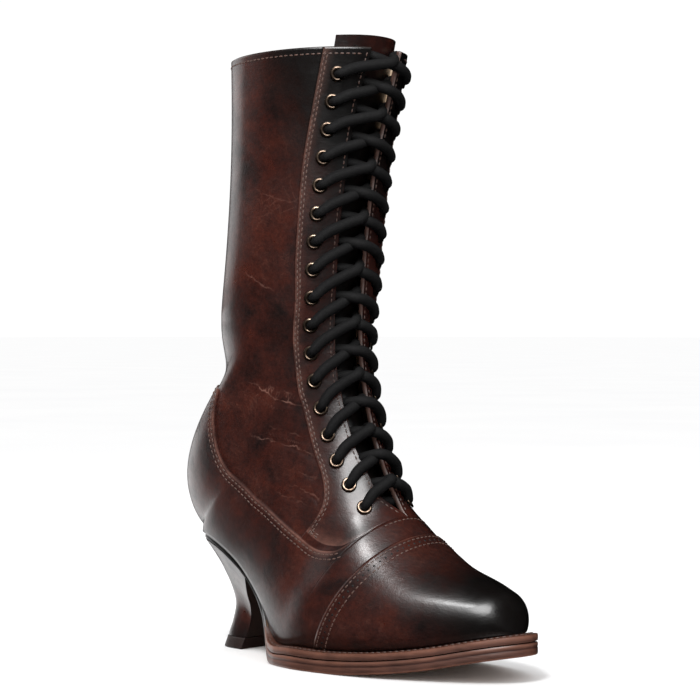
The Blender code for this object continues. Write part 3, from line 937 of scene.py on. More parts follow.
@dataclass(frozen=True)
class MatteFloor:
    """Pale studio paper."""

    name: str
    pale: Colour = (0.925, 0.925, 0.93)
    paler: Colour = (0.95, 0.95, 0.95)
    tone: Clouds = Clouds(3.0, 3.0, 0.5)
    gloss: Pair = (0.7, 0.8)

    def make(self) -> Material:
        """Build the material.

        Returns:
            The paper.
        """
        graph = Graph(self.name)
        tone = graph.noise(graph.place(), self.tone)
        colour = graph.ramp(tone, MOST, self.pale, self.paler)
        graph.surface(colour, graph.span(tone, MOST, self.gloss))
        graph.constant("Specular IOR Level", 0.0)
        return graph.material


@dataclass
class MeshMaker:
    """Points, faces and their slots gathered for one piece."""

    points: list[Array] = field(default_factory=list)
    faces: list[tuple[int, ...]] = field(default_factory=list)
    slots: list[int] = field(default_factory=list)
    values: dict[str, list[Array]] = field(default_factory=dict)
    count: int = 0

    def add(self, grid: Array, **values: Array) -> Array:
        """Add points.

        Args:
            grid: Points in an array of any shape.
            values: Values to keep on them.

        Returns:
            Their numbers, in the same shape.
        """
        flat = grid.reshape(-1, 3)
        numbers = np.arange(self.count, self.count + len(flat)).reshape(grid.shape[:-1])
        self.points.append(flat)
        self.count += len(flat)
        for name, value in values.items():
            self.values.setdefault(name, []).append(np.broadcast_to(value, grid.shape[:-1]).reshape(-1))
        return numbers

    def quads(self, numbers: Array, slot: int = 0) -> None:
        """Face a grid of points.

        Args:
            numbers: Point numbers in rows and columns.
            slot: Material slot of the faces.
        """
        a, b, c, d = numbers[:-1, :-1], numbers[:-1, 1:], numbers[1:, 1:], numbers[1:, :-1]
        loops = np.stack((a, b, c, d), axis=-1).reshape(-1, 4)
        self.faces += [tuple(loop) for loop in loops.tolist()]
        self.slots += [slot] * len(loops)

    def fan(self, loop: Sequence[int], slot: int = 0) -> None:
        """Close a ring of points with one face."""
        self.faces.append(tuple(int(number) for number in loop))
        self.slots.append(slot)

    def make(self, name: str, materials: Sequence[Material], crease_deg: float = 180.0) -> bpy.types.Object:
        """Make the piece, its doubles merged and its faces outwards.

        Args:
            name: Name of the piece.
            materials: Its material slots.
            crease_deg: Edges sharper than this stay sharp.

        Returns:
            The piece.
        """
        mesh = bpy.data.meshes.new(name)
        mesh.from_pydata((np.concatenate(self.points) * MM).tolist(), [], self.faces)
        for look in materials:
            mesh.materials.append(look)
        mesh.polygons.foreach_set("material_index", self.slots)
        for key, parts in self.values.items():
            layer = mesh.attributes.new(key, "FLOAT", "POINT")
            layer.data.foreach_set("value", np.concatenate(parts).astype(np.float32))
        edit = bmesh.new()
        edit.from_mesh(mesh)
        bmesh.ops.remove_doubles(edit, verts=edit.verts, dist=0.01 * MM)
        bmesh.ops.recalc_face_normals(edit, faces=edit.faces)
        edit.to_mesh(mesh)
        edit.free()
        piece = bpy.data.objects.new(name, mesh)
        bpy.context.scene.collection.objects.link(piece)
        finish_smooth(piece, crease_deg)
        return piece


def finish_smooth(piece: bpy.types.Object, crease_deg: float) -> None:
    """Shade a piece smooth up to an angle."""
    select_only(piece)
    bpy.ops.object.shade_smooth_by_angle(angle=math.radians(crease_deg))


def select_only(piece: bpy.types.Object) -> None:
    """Select one piece and make it the active one.

    Args:
        piece: The piece.
    """
    bpy.ops.object.select_all(action="DESELECT")
    piece.select_set(True)
    bpy.context.view_layer.objects.active = piece


def placed(piece: bpy.types.Object, slot: str, *nodes: str) -> None:
    """Let a piece ride on the boot and stand for CAD nodes.

    Args:
        piece: The piece.
        slot: Not used.
        nodes: CAD nodes that it stands for.
    """
    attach(piece, "root")
    if nodes:
        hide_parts(*nodes)
    LOG.info("%s: %d faces", piece.name, len(piece.data.polygons))


@dataclass(frozen=True)
class Crease:
    """A fold set into the leather, along a line in the side view.

    Attributes:
        line: X and Z of its points.
        depth: Depth of the trough.
        width: Half its width.
        wear: How pale its edge is, from use and as a painted highlight.
        fade: Share of its length over which each end fades.
        ridges: Side and height of the ridges beside it, as a share of the depth.
        ridge_way: Way to a ridge, in half widths of the trough.
        ridge_width: Half width of a ridge, in half widths of the trough.
        rubbed_and_lit: Distances where the pale mark starts and where it is full.
    """

    line: Table
    depth: float
    width: float
    wear: float = 0.0
    fade: float = 0.3
    ridges: Table = ((-1.0, 0.55), (1.0, 0.30))
    ridge_way: float = 1.9
    ridge_width: float = 1.1
    rubbed_and_lit: Pair = (4.2, 2.6)

    def lift(self, points: Array) -> Arrays:
        """How far points move outwards, and how pale the fold is, from use and as a painted highlight.

        Args:
            points: Points of one side of the upper.

        Returns:
            A trough with a soft ridge on each side, fading at the line's ends, the distances over the line,
            and the pale mark beside it, from use and painted highlight.
        """
        line = np.array(self.line)
        ways = arc_lengths(line)
        flat = points[..., (0, 2)]
        best = np.full(flat.shape[:-1], np.inf)
        along, above = np.zeros(best.shape), np.zeros(best.shape)
        for k in range(len(line) - 1):
            run = line[k + 1] - line[k]
            length = np.linalg.norm(run)
            t = np.clip(((flat - line[k]) @ run) / length**2, 0.0, 1.0)
            apart = flat - (line[k] + t[..., None] * run)
            distance = np.linalg.norm(apart, axis=-1)
            nearer = distance < best
            best = np.where(nearer, distance, best)
            along = np.where(nearer, ways[k] + t * length, along)
            above = np.where(nearer, np.sign(apart[..., 1]) * distance, above)
        end = self.fade * ways[-1]
        fade = smooth(0.0, end, along) * smooth(0.0, end, ways[-1] - along)
        shape = -np.exp(-((best / self.width) ** 2))
        for sign, share in self.ridges:
            beside = above - sign * self.ridge_way * self.width
            shape = shape + share * np.exp(-((beside / (self.ridge_width * self.width)) ** 2))
        return self.depth * fade * shape, above, self.wear * fade * smooth(*self.rubbed_and_lit, best)


CREASES = (
    Crease(
        ((30.0, 142.5), (33.9, 140.3), (43.1, 136.0), (48.5, 132.0), (57.0, 130.3), (66.0, 128.0)),
        0.42, 1.15, 0.7,
    ),
    Crease(((40.0, 140.0), (50.0, 136.5), (62.0, 133.5)), 0.20, 1.0, 0.3),
    Crease(
        ((30.0, 114.5), (36.7, 113.3), (48.6, 111.3), (59.3, 108.9), (66.9, 106.0), (76.0, 101.5)),
        0.42, 1.25, 0.55,
    ),
    Crease(((44.0, 118.0), (54.0, 116.5), (66.0, 113.0)), 0.20, 1.0, 0.3),
    Crease(((56.0, 90.0), (61.8, 88.9), (70.1, 86.7), (76.7, 83.4), (80.5, 77.5)), 0.30, 1.0, 0.35),
    Crease(((50.0, 85.5), (55.6, 84.3), (64.3, 82.9), (73.0, 79.0)), 0.26, 1.0, 0.35),
    Crease(((60.0, 97.5), (68.0, 95.5), (77.0, 92.0)), 0.20, 0.9, 0.2),
    Crease(((2.0, 171.0), (9.1, 172.2), (25.0, 173.9), (40.0, 173.1)), 0.40, 2.4, 0.0),
    Crease(((33.0, 197.5), (37.3, 195.6), (46.6, 190.1), (57.0, 184.5)), 0.16, 1.4, 0.35),
    Crease(((46.0, 237.0), (51.5, 235.5), (59.9, 231.8), (69.0, 233.0)), 0.14, 1.3, 0.3),
)


class Panel(Enum):
    """Panels that a section of the upper passes on its way up."""

    FOXING = 0
    QUARTER = 1
    EYESTAY = 2


@dataclass
class Upper:
    """The leather upper: cap, foxing, quarters and eyestays as steps of one wall.

    A name that ends in _u is a place or a length along the form, in rows of its sections.
    """

    form: BootForm
    wall: float = 1.9
    foxing_step: float = 1.0
    cap_step: float = 1.9
    eyestay_step: float = 0.8
    pinch_fade: Pair = (0.01, 0.10)
    seam_width: float = 0.55
    hold: float = 0.7
    hold_share: float = 0.2
    edge_hold: float = 0.4
    rim_round: float = 0.5
    rim_burnish: float = 0.6
    collar_row: float = 36.0
    foxing_rows: int = 20
    quarter_rows: int = 42
    eyestay_rows: int = 9
    seam_u: float = 0.018
    hold_u: float = 0.07
    collar_hold_u: float = 0.03
    throat_start_u: float = 0.01
    toe_count: int = 46
    toe_crowding: float = 1.4
    vamp_count: int = 12
    instep_count: int = 104
    instep_crowding: float = 1.2
    stay_corner_u: Pair = (8.8, 9.12)
    stay_corner_count: int = 17
    counter_count: int = 26
    shaft_count: int = 46
    back_seam: float = 0.3
    back_seam_width: float = 0.9
    back_seam_angle: float = 0.6
    back_seam_u: float = 0.1
    no_fold: float = 5.0
    # Rows and top of the lining inside the flaps that is painted dark as shade.
    shaded_lining_top_u: float = 19.6
    shaded_lining_rows: int = 16
    toe_burnish_x: Pair = (128.0, 178.0)
    toe_burnish_slope: float = 0.35
    toe_burnish_z: float = 20.0
    # Darkening along the sole's edge, forward and at the back: burnished leather with painted shade.
    sole_burnish_and_shade: float = 0.55
    sole_burnish_and_shade_share: float = 0.22
    back_burnish_and_shade: float = 0.35
    back_burnish_and_shade_share: float = 0.16
    # Darker beside the front line above the throat's base.
    front_darkening: float = 0.28
    front_darkening_x: float = 84.0
    front_darkening_reach: Pair = (4.0, 26.0)
    front_darkening_z: Pair = (80.0, 120.0)
    collar_burnish: float = 0.15
    collar_burnish_z: Pair = (296.0, 312.0)
    foxing_wear: Pair = (0.8, 0.4)
    eyestay_wear: Triple = (0.65, 0.5, 0.12)
    cap_wear: float = 0.5
    filling: int = 1200
    filling_rate: float = 0.6
    filling_from_u: Pair = (10.8, 11.8)
    filling_to_u: Pair = (13.8, 14.6)
    filling_seat_u: float = 0.2
    filling_edge: float = 0.05
    filling_seam: Pair = (-0.25, -0.10)
    piece: bpy.types.Object = field(init=False)

    def stations(self) -> Arrays:
        """Where the sections of the mesh are.

        Returns:
            Their places, and the step of the panel that each has below the seams.
        """
        form, seam, hold = self.form, self.seam_u, self.hold_u
        toe = (form.cap_u - hold) * np.linspace(0.0, 1.0, self.toe_count) ** self.toe_crowding
        toe = np.append(toe, form.cap_u - seam)
        vamp = np.append(form.cap_u + seam, np.linspace(form.cap_u + hold, form.throat_u, self.vamp_count))
        shares = np.linspace(0.0, 1.0, self.instep_count)[1:] ** self.instep_crowding
        instep = form.throat_u + (form.back_u - form.throat_u) * shares
        corner = np.linspace(*self.stay_corner_u, self.stay_corner_count)
        instep = np.unique(np.concatenate((instep, corner)))
        counter = np.linspace(form.back_u, form.foxing_back_u - hold, self.counter_count)[1:]
        counter = np.append(counter, form.foxing_back_u - seam)
        shaft = np.linspace(form.foxing_back_u + hold, form.collar_u - self.collar_hold_u, self.shaft_count)
        shaft = np.concatenate(([form.foxing_back_u + seam], shaft, [form.collar_u]))
        middle = np.concatenate((vamp, instep, counter))
        parts = ((toe, self.cap_step), (middle, self.foxing_step), (shaft, 0.0))
        steps = [np.full(len(places), step) for places, step in parts]
        return np.concatenate([places for places, _ in parts]), np.concatenate(steps)

    def rows(self, u: Array, side: Side) -> Arrays:
        """Angles up each section, from the sole past the seams to the throat.

        Args:
            u: Places of the sections.
            side: Side of the foot.

        Returns:
            The angles, and the panel of each row of them.
        """
        form = self.form
        start, opened = form.start(u), u > form.throat_u
        safe = np.where(opened, u, form.throat_u + self.throat_start_u)
        edge, foxing, stay = form.throat(safe, side), form.foxing(safe, side), form.stay(safe, side)
        low = form.way(safe, foxing, side, self.seam_width / 2)
        high = form.way(safe, stay, side, self.seam_width / 2)
        grip_low = form.way(safe, foxing, side, self.hold)
        grip_high = np.minimum(form.way(safe, stay, side, self.hold), self.hold_share * (stay - foxing))
        first, last = foxing + low + np.minimum(grip_low, grip_high), stay - high - grip_high
        brink = edge - form.way(safe, edge, side, self.edge_hold)
        block = (
            filled(start, foxing - low - grip_low, self.foxing_rows),
            (foxing - low)[:, None],
            (foxing + low)[:, None],
            filled(first, last, self.quarter_rows),
            (stay - high)[:, None],
            (stay + high)[:, None],
            filled(stay + high + grip_high, brink, self.eyestay_rows),
            edge[:, None],
        )
        counts = (self.foxing_rows + 1, self.quarter_rows + 2, self.eyestay_rows + 2)
        kinds = np.repeat([panel.value for panel in Panel], counts)
        over = np.full((len(u), counts[1] + counts[2]), math.pi)
        whole = np.concatenate((filled(start, np.full(len(u), math.pi), counts[0]), over), axis=1)
        return np.where(opened[:, None], np.concatenate(block, axis=1), whole), kinds

    def burnish(self, points: Array, u: Array, angles: Array) -> Array:
        """How dark each point is made: burnished leather, with painted shade along the sole.

        Args:
            points: Points of one side.
            u: Their places along the form.
            angles: Their angles.

        Returns:
            Values from 0 to 1: high on the toe, along the sole, the throat, the back and the collar; along
                the sole and at the back's foot it is burnished leather with painted shade.
        """
        form = self.form
        x, z = points[..., 0], points[..., 2]
        share = (angles - form.start(u)) / (math.pi - form.start(u))
        toe = smooth(*self.toe_burnish_x, x + self.toe_burnish_slope * (z - self.toe_burnish_z))
        # Along the sole's edge, forward and at the back, the darkening is burnished leather with painted
        # shade.
        sole = self.sole_burnish_and_shade * (1.0 - smooth(0.0, self.sole_burnish_and_shade_share, share)) * (u < form.back_u)
        back = self.back_burnish_and_shade * (1.0 - smooth(0.0, self.back_burnish_and_shade_share, share)) * (u >= form.back_u)
        # Darker beside the front line, more so higher up.
        beside = 1.0 - smooth(*self.front_darkening_reach, np.abs(x - self.front_darkening_x))
        front = self.front_darkening * beside * smooth(*self.front_darkening_z, z)
        collar = self.collar_burnish * smooth(*self.collar_burnish_z, z)
        return np.clip(np.maximum.reduce((toe, sole, back, front, collar)), 0.0, 1.0)

    def edge_wear(self, places: Array, kinds: Array) -> Array:
        """How pale the panels' cut edges are from use.

        Args:
            places: Places of the sections.
            kinds: Panel of each row.

        Returns:
            Values from 0 to 1 for each section and row.
        """
        wear = np.zeros((len(places), len(kinds)))
        behind = places > self.form.throat_u
        top, stay = self.foxing_rows, self.foxing_rows + self.quarter_rows + 3
        for k, value in enumerate(self.foxing_wear):
            wear[behind, top - k] = value
        for k, value in enumerate(self.eyestay_wear):
            wear[behind, stay + k] = value
        wear[behind & (places > self.form.foxing_back_u), : top + 1] = 0.0
        wear[int(np.searchsorted(places, self.form.cap_u)) - 1] = self.cap_wear
        return wear

    def steps(self, places: Array, panels: Array, kinds: Array, side: Side) -> Array:
        """How far the panels stand over the form.

        Args:
            places: Places of the sections.
            panels: Step of each section's lowest panel.
            kinds: Panel of each row.
            side: Side of the foot.

        Returns:
            Steps for each section and row; a quarter pinched out between its seams rises to the eyestay.
        """
        form = self.form
        safe = np.maximum(places, form.throat_u + self.throat_start_u)
        low = form.foxing(safe, side)
        room = (form.stay(safe, side) - low) / np.maximum(form.throat(safe, side) - low, 1e-6)
        gone, clear = self.pinch_fade
        lifted = self.eyestay_step * (1.0 - smooth(form.pinch + gone, form.pinch + clear, room))
        step = np.where(kinds[None, :] == Panel.FOXING.value, panels[:, None], 0.0)
        step = np.where(kinds[None, :] == Panel.QUARTER.value, lifted[:, None], step)
        step = np.where(kinds[None, :] == Panel.EYESTAY.value, self.eyestay_step, step)
        return np.where((places <= form.throat_u)[:, None], panels[:, None], step)

    def folds(self, points: Array, u: Array, angles: Array, kinds: Array) -> Arrays:
        """Creases of the quarters and the shaft, and the seam down the back.

        Args:
            points: Points of one side.
            u: Their places along the form.
            angles: Their angles.
            kinds: Panel of each row.

        Returns:
            Lifts, how pale the folds are from use and as a painted highlight, and distances over the nearest
            pale fold.
        """
        form = self.form
        fold, rubbed_and_lit, beside = np.zeros(u.shape), np.zeros(u.shape), np.full(u.shape, self.no_fold)
        for crease in CREASES:
            lift, above, rub = crease.lift(points)
            fold += lift
            beside = np.where(rub > rubbed_and_lit, above, beside)
            rubbed_and_lit = np.maximum(rubbed_and_lit, rub)
        soft = (kinds == Panel.QUARTER.value)[None, :] | (u > form.foxing_back_u)
        apart = (points[..., 1] - form.section(u).centre_y) / self.back_seam_width
        spine = (u > form.foxing_back_u + self.back_seam_u) & (angles < self.back_seam_angle)
        seam = np.where(spine, -self.back_seam * np.exp(-(apart**2)), 0.0)
        return fold * soft + seam, rubbed_and_lit * soft, beside

    def counter_fill(self, u: Array, angles: Array, side: Side) -> Array:
        """How far the counter's stiffener fills the hollow over the heel seat.

        Args:
            u: Places of the points along the form.
            angles: Their angles.
            side: Side of the foot.

        Returns:
            Lifts; the sole's edge and the foxing's seam are held.
        """
        form = self.form
        seam = form.foxing(np.maximum(u[:, 0], form.throat_u + self.throat_start_u), side)[:, None]
        window = smooth(*self.filling_from_u, u) * (1.0 - smooth(*self.filling_to_u, u))
        seat = 1.0 - smooth(form.back_u, form.back_u + self.filling_seat_u, u)
        held = seat * (1.0 - smooth(0.0, self.filling_edge, angles - form.start(u)))
        free = window * (1.0 - held) * (1.0 - smooth(*self.filling_seam, angles - seam))
        bare, normals = form.skin(u, angles, side, self.foxing_step), form.normals(u, angles, side)
        lift = np.zeros(u.shape)
        near = np.flatnonzero(free.max(axis=1) > 0.0)
        part, inside = slice(near[0] - 1, near[-1] + 2), slice(near[0], near[-1] + 1)
        for _ in range(self.filling):
            points = bare[part] + lift[part, :, None] * normals[part]
            hollow = np.sum(((points[:-2] + points[2:]) / 2 - points[1:-1]) * normals[inside], axis=-1)
            lift[inside] += self.filling_rate * free[inside] * np.maximum(hollow, 0.0)
        return lift

    def build(self, materials: Sequence[Material]) -> None:
        """Build the wall of both sides.

        Args:
            materials: Outside, lining, cut edge and rim; the cut edge also lies on the lining inside the
                flaps as painted shade.
        """
        form = self.form
        maker = MeshMaker()
        places, panels = self.stations()
        for side in Side:
            angles, kinds = self.rows(places, side)
            u = np.repeat(places[:, None], angles.shape[1], axis=1)
            base = form.points(u, angles, side)
            fold, rubbed_and_lit, beside = self.folds(base, u, angles, kinds)
            fold += self.counter_fill(u, angles, side)
            lifts = self.steps(places, panels, kinds, side) + fold
            looks = {"wear": self.edge_wear(places, kinds), "fold": rubbed_and_lit, "fold_side": beside}
            outside = form.skin(u, angles, side, lifts)
            outer = maker.add(outside, **looks, burnish=self.burnish(base, u, angles))
            inner = maker.add(form.skin(u, angles, side, fold - self.wall), **UNMARKED, burnish=0.0)
            maker.quads(outer, Skin.OUTSIDE.value)
            # The lining inside the flaps, from some rows below the eyestay to the throat's edge, takes the
            # dark cut-edge finish up to near the collar as painted shade; above it the cream lining shows.
            shaded_lining_from = int(np.argmax(kinds == Panel.EYESTAY.value)) - self.shaded_lining_rows
            top = int(np.searchsorted(places, self.shaded_lining_top_u))
            maker.quads(inner[:, : shaded_lining_from + 1], Skin.LINING.value)
            maker.quads(inner[: top + 1, shaded_lining_from:], Skin.CUT_EDGE.value)
            maker.quads(inner[top:, shaded_lining_from:], Skin.LINING.value)
            self.close(maker, side, places, angles, lifts, (outer, inner))
        self.piece = maker.make("leather_upper", materials)

    def close(
        self, maker: MeshMaker, side: Side, places: Array, angles: Array, lifts: Array, skins: Arrays
    ) -> None:
        """Close the wall along the sole, round the throat and round the collar.

        Args:
            maker: The piece's points and faces.
            side: Side of the foot.
            places: Places of the sections.
            angles: Angles of the grid.
            lifts: Heights of the outside.
            skins: Point numbers of the outside and of the lining.
        """
        form = self.form
        outer, inner = skins
        below = places <= form.back_u
        maker.quads(np.stack((outer[below, 0], inner[below, 0])), Skin.CUT_EDGE.value)
        opened = places >= form.throat_u
        u, edge = places[opened], angles[opened, -1]
        beyond = np.minimum(edge + form.way(u, edge, side, self.rim_round), math.pi)
        height = (lifts - self.wall) / 2
        looks = {**UNMARKED, "burnish": self.rim_burnish}
        rim = maker.add(form.skin(u, beyond, side, height[opened, -1]), **looks)
        maker.quads(np.stack((outer[opened, -1], rim, inner[opened, -1])), Skin.RIM.value)
        top = np.full(angles.shape[1], form.collar_u + self.rim_round / self.collar_row)
        collar = maker.add(form.skin(top, angles[-1], side, height[-1]), **looks)
        maker.quads(np.stack((outer[-1], collar, inner[-1])), Skin.CUT_EDGE.value)
        for skin in skins:
            maker.fan((skin[-1, -1], rim[-1], collar[-1]), Skin.CUT_EDGE.value)

    def dress(self) -> None:
        """Put the upper in the CAD upper's place."""
        placed(self.piece, "brown_leather", "upper")


@dataclass(frozen=True)
class SewnRow:
    """A row of stitches beside a seam.

    Attributes:
        line: Points of the seam.
        normals: The leather's normals there.
        shift: How far the row lies from the seam, along the normal crossed with the way.
        pitch: From stitch to stitch.
        ahead: Step over which a stitch's way is read.
    """

    line: Array
    normals: Array
    shift: float
    pitch: float
    ahead: float = 0.5

    def places(self, surface: BVHTree) -> Arrays:
        """Where its stitches are.

        Args:
            surface: The leather they lie on.

        Returns:
            Their middles, ways and normals.
        """
        way = unit(np.gradient(self.line, axis=0))
        moved = self.line + np.cross(self.normals, way) * self.shift
        lengths = arc_lengths(moved)
        marks = np.arange(self.pitch / 2, lengths[-1], self.pitch)
        spots, after = (
            np.stack([np.interp(marks + step, lengths, axis) for axis in moved.T], axis=-1)
            for step in (0.0, self.ahead)
        )
        hits = [surface.find_nearest(Vector(spot * MM)) for spot in spots]
        found = np.array([np.array(hit[0]) / MM for hit in hits])
        return found, unit(after - spots), unit(np.array([np.array(hit[1]) for hit in hits]))


@dataclass
class Stitching:
    """Every row of stitches on the upper, and the punched holes of the cap.

    A name that ends in _u is a place along the form, or a way from a seam's end to a row's end.
    """

    upper: Upper
    length: float = 2.3
    thickness: float = 0.42
    flatness: float = 0.8
    pitch: float = 2.9
    hole_radius: float = 0.62
    hole_depth: float = 0.09
    hole_pitch: float = 3.6
    hole_shift: float = -4.15
    seam_points: int = 160
    foxing_shifts: Pair = (1.9, 4.4)
    foxing_ends_u: Pair = (-0.15, 0.22)
    stay_shifts: Pair = (1.1, 2.5)
    stay_first_u: float = 8.35
    stay_end_u: float = -0.08
    throat_shift: float = -2.0
    throat_ends_u: Pair = (0.3, -0.1)
    vamp_shift: float = -1.2
    vamp_u: float = -0.03
    vamp_low: float = 1.75
    cap_shifts: Pair = (-1.7, -6.6)
    cap_u: float = -0.02
    cap_low: float = 0.05
    cap_points: int = 80
    collar_shift: float = 3.0
    collar_end: float = 0.12
    collar_points: int = 90

    def template(self, name: str, size: Triple) -> bpy.types.Mesh:
        """One stitch or hole at the origin, long in X.

        Args:
            name: Name of the mesh.
            size: Its half sizes.

        Returns:
            The mesh.
        """
        bpy.ops.object.select_all(action="DESELECT")
        bpy.ops.mesh.primitive_uv_sphere_add(segments=8, ring_count=5, radius=1.0)
        item = bpy.context.active_object
        bpy.ops.object.mode_set(mode="EDIT")
        bpy.ops.mesh.select_all(action="SELECT")
        bpy.ops.transform.resize(value=tuple(MM * value for value in size))
        bpy.ops.object.mode_set(mode="OBJECT")
        mesh = item.data
        bpy.data.objects.remove(item)
        mesh.name = name
        return mesh

    def sew(self, rows: Sequence[SewnRow], surface: BVHTree, template: bpy.types.Mesh) -> MeshMaker:
        """Lay copies of a template on the leather, along rows.

        Args:
            rows: The rows.
            surface: The leather.
            template: Mesh of one copy.

        Returns:
            The copies.
        """
        maker = MeshMaker()
        corners = np.array([vertex.co for vertex in template.vertices]) / MM
        loops = [tuple(face.vertices) for face in template.polygons]
        for row in rows:
            for spot, way, normal in zip(*row.places(surface)):
                across = unit(np.cross(normal, way))
                frame = np.stack((unit(np.cross(across, normal)), across, normal))
                first = int(maker.add(spot + corners @ frame)[0])
                for loop in loops:
                    maker.fan([first + corner for corner in loop])
        return maker

    def rows(self) -> tuple[list[SewnRow], SewnRow]:
        """All rows of stitches, and the row of punched holes.

        Returns:
            The stitch rows and the hole row.
        """
        form, upper = self.upper.form, self.upper
        foxing_u = (form.foxing_back_u + self.foxing_ends_u[0], form.throat_u + self.foxing_ends_u[1])
        stay_u = (self.stay_first_u, form.collar_u + self.stay_end_u)
        throat_u = (form.throat_u + self.throat_ends_u[0], form.collar_u + self.throat_ends_u[1])
        seams = (
            (form.foxing, foxing_u, upper.foxing_step, self.foxing_shifts),
            (form.stay, stay_u, upper.eyestay_step, self.stay_shifts),
            (form.throat, throat_u, upper.eyestay_step, (self.throat_shift,)),
        )
        rows = []
        for side in Side:
            for seam, ends, step, shifts in seams:
                u = np.linspace(*ends, self.seam_points)
                angle = seam(u, side)
                line, normals = form.skin(u, angle, side, step), form.normals(u, angle, side)
                rows += [SewnRow(line, normals, side.value * shift, self.pitch) for shift in shifts]
        vamp = self.across(form.throat_u + self.vamp_u, upper.foxing_step, self.vamp_low)
        cap = self.across(form.cap_u + self.cap_u, upper.cap_step, self.cap_low)
        rows.append(SewnRow(*vamp, self.vamp_shift, self.pitch))
        rows += [SewnRow(*cap, shift, self.pitch) for shift in self.cap_shifts]
        rows.append(SewnRow(*self.round_collar(), self.collar_shift, self.pitch))
        return rows, SewnRow(*cap, self.hole_shift, self.hole_pitch)

    def across(self, u: float, lift: float, low: float) -> Arrays:
        """Line over the foot from the outer side to the inner one.

        Args:
            u: Its place along the form.
            lift: Its height over the form.
            low: Angle above the sole's edge at which it starts and ends.

        Returns:
            Its points and normals.
        """
        first = float(self.upper.form.start(np.array(u))) + low
        angles = np.linspace(first, math.pi, self.cap_points)
        return self.joined(u, lift, (angles, angles))

    def round_collar(self) -> Arrays:
        """Line round the collar from the outer throat edge over the back to the inner one.

        Returns:
            Its points and normals.
        """
        form = self.upper.form
        edges = [form.throat(np.array([form.collar_u]), side)[0] - self.collar_end for side in Side]
        return self.joined(form.collar_u, 0.0, [np.linspace(edge, 0.0, self.collar_points) for edge in edges])

    def joined(self, u: float, lift: float, angles: Sequence[Array]) -> Arrays:
        """Line round one section: along its outer side, then back along its inner side.

        Args:
            u: Place of the section.
            lift: Height over the form.
            angles: Angles of each side, towards the point where they meet.

        Returns:
            Its points and normals.
        """
        form = self.upper.form
        lines, normals = [], []
        for side, angle in zip(Side, angles):
            angle = angle if side is Side.LATERAL else angle[-2::-1]
            place = np.full(len(angle), u)
            lines.append(form.skin(place, angle, side, lift))
            normals.append(form.normals(place, angle, side))
        return np.concatenate(lines), np.concatenate(normals)

    def build(self, thread: Material, shade: Material) -> None:
        """Sew every row and punch the holes.

        Args:
            thread: The stitches' finish.
            shade: The finish inside the holes.
        """
        surface = BVHTree.FromObject(self.upper.piece, bpy.context.evaluated_depsgraph_get())
        rows, holes = self.rows()
        stitch = self.template("stitch", (self.length / 2, self.thickness, self.thickness * self.flatness))
        placed(self.sew(rows, surface, stitch).make("seam_stitches", (thread,)), "brown_leather")
        # The holes are shallow dark discs laid on the cap: painted shade in place of cut holes.
        hole = self.template("punched_hole", (self.hole_radius, self.hole_radius, self.hole_depth))
        placed(self.sew((holes,), surface, hole).make("cap_pinholes", (shade,)), "brown_leather")


@dataclass
class Tongue:
    """Leather sheet behind the throat, from under the vamp to above the collar."""

    form: BootForm
    first_u: float = 6.8
    last_u: float = 21.2
    depth: float = 6.5
    thickness: float = 1.8
    widths: Table = ((6.8, 14.0), (9.0, 24.0), (12.0, 28.0), (21.2, 29.0))
    rows: int = 120
    columns: int = 16
    # The outside is painted near black as the shade under the laces, lighter at the top above the collar.
    burnish: float = 0.9
    shade_fade: float = 0.7
    shade_fade_u: Pair = (20.2, 20.8)

    def build(self, materials: Sequence[Material]) -> None:
        """Build the sheet.

        Args:
            materials: Outside, lining, cut edge and rim.
        """
        form = self.form
        u = np.linspace(self.first_u, self.last_u, self.rows)
        halves = []
        for side in Side:
            edge = form.front_angle(u, side, profile(self.widths, u))
            angles = filled(edge, np.full(len(u), math.pi), self.columns)
            angles = angles if side is Side.LATERAL else angles[:, -2::-1]
            places = np.repeat(u[:, None], angles.shape[1], axis=1)
            depths = (-self.depth, -self.depth - self.thickness)
            halves.append([form.skin(places, angles, side, depth) for depth in depths])
        outside, inside = (np.concatenate(skin, axis=1) for skin in zip(*halves))
        maker = MeshMaker()
        # Painted shade on the outside, fading out towards the top.
        burnish = self.burnish - self.shade_fade * smooth(*self.shade_fade_u, u)
        outer = maker.add(outside, burnish=burnish[:, None], wear=0.0)
        inner = maker.add(inside, burnish=0.0, wear=0.0)
        maker.quads(outer, Skin.OUTSIDE.value)
        maker.quads(inner, Skin.LINING.value)
        for line in ((0, slice(None)), (-1, slice(None)), (slice(None), 0), (slice(None), -1)):
            maker.quads(np.stack((outer[line], inner[line])), Skin.CUT_EDGE.value)
        placed(maker.make("leather_tongue", materials, crease_deg=50.0), "tongue_leather", "tongue")


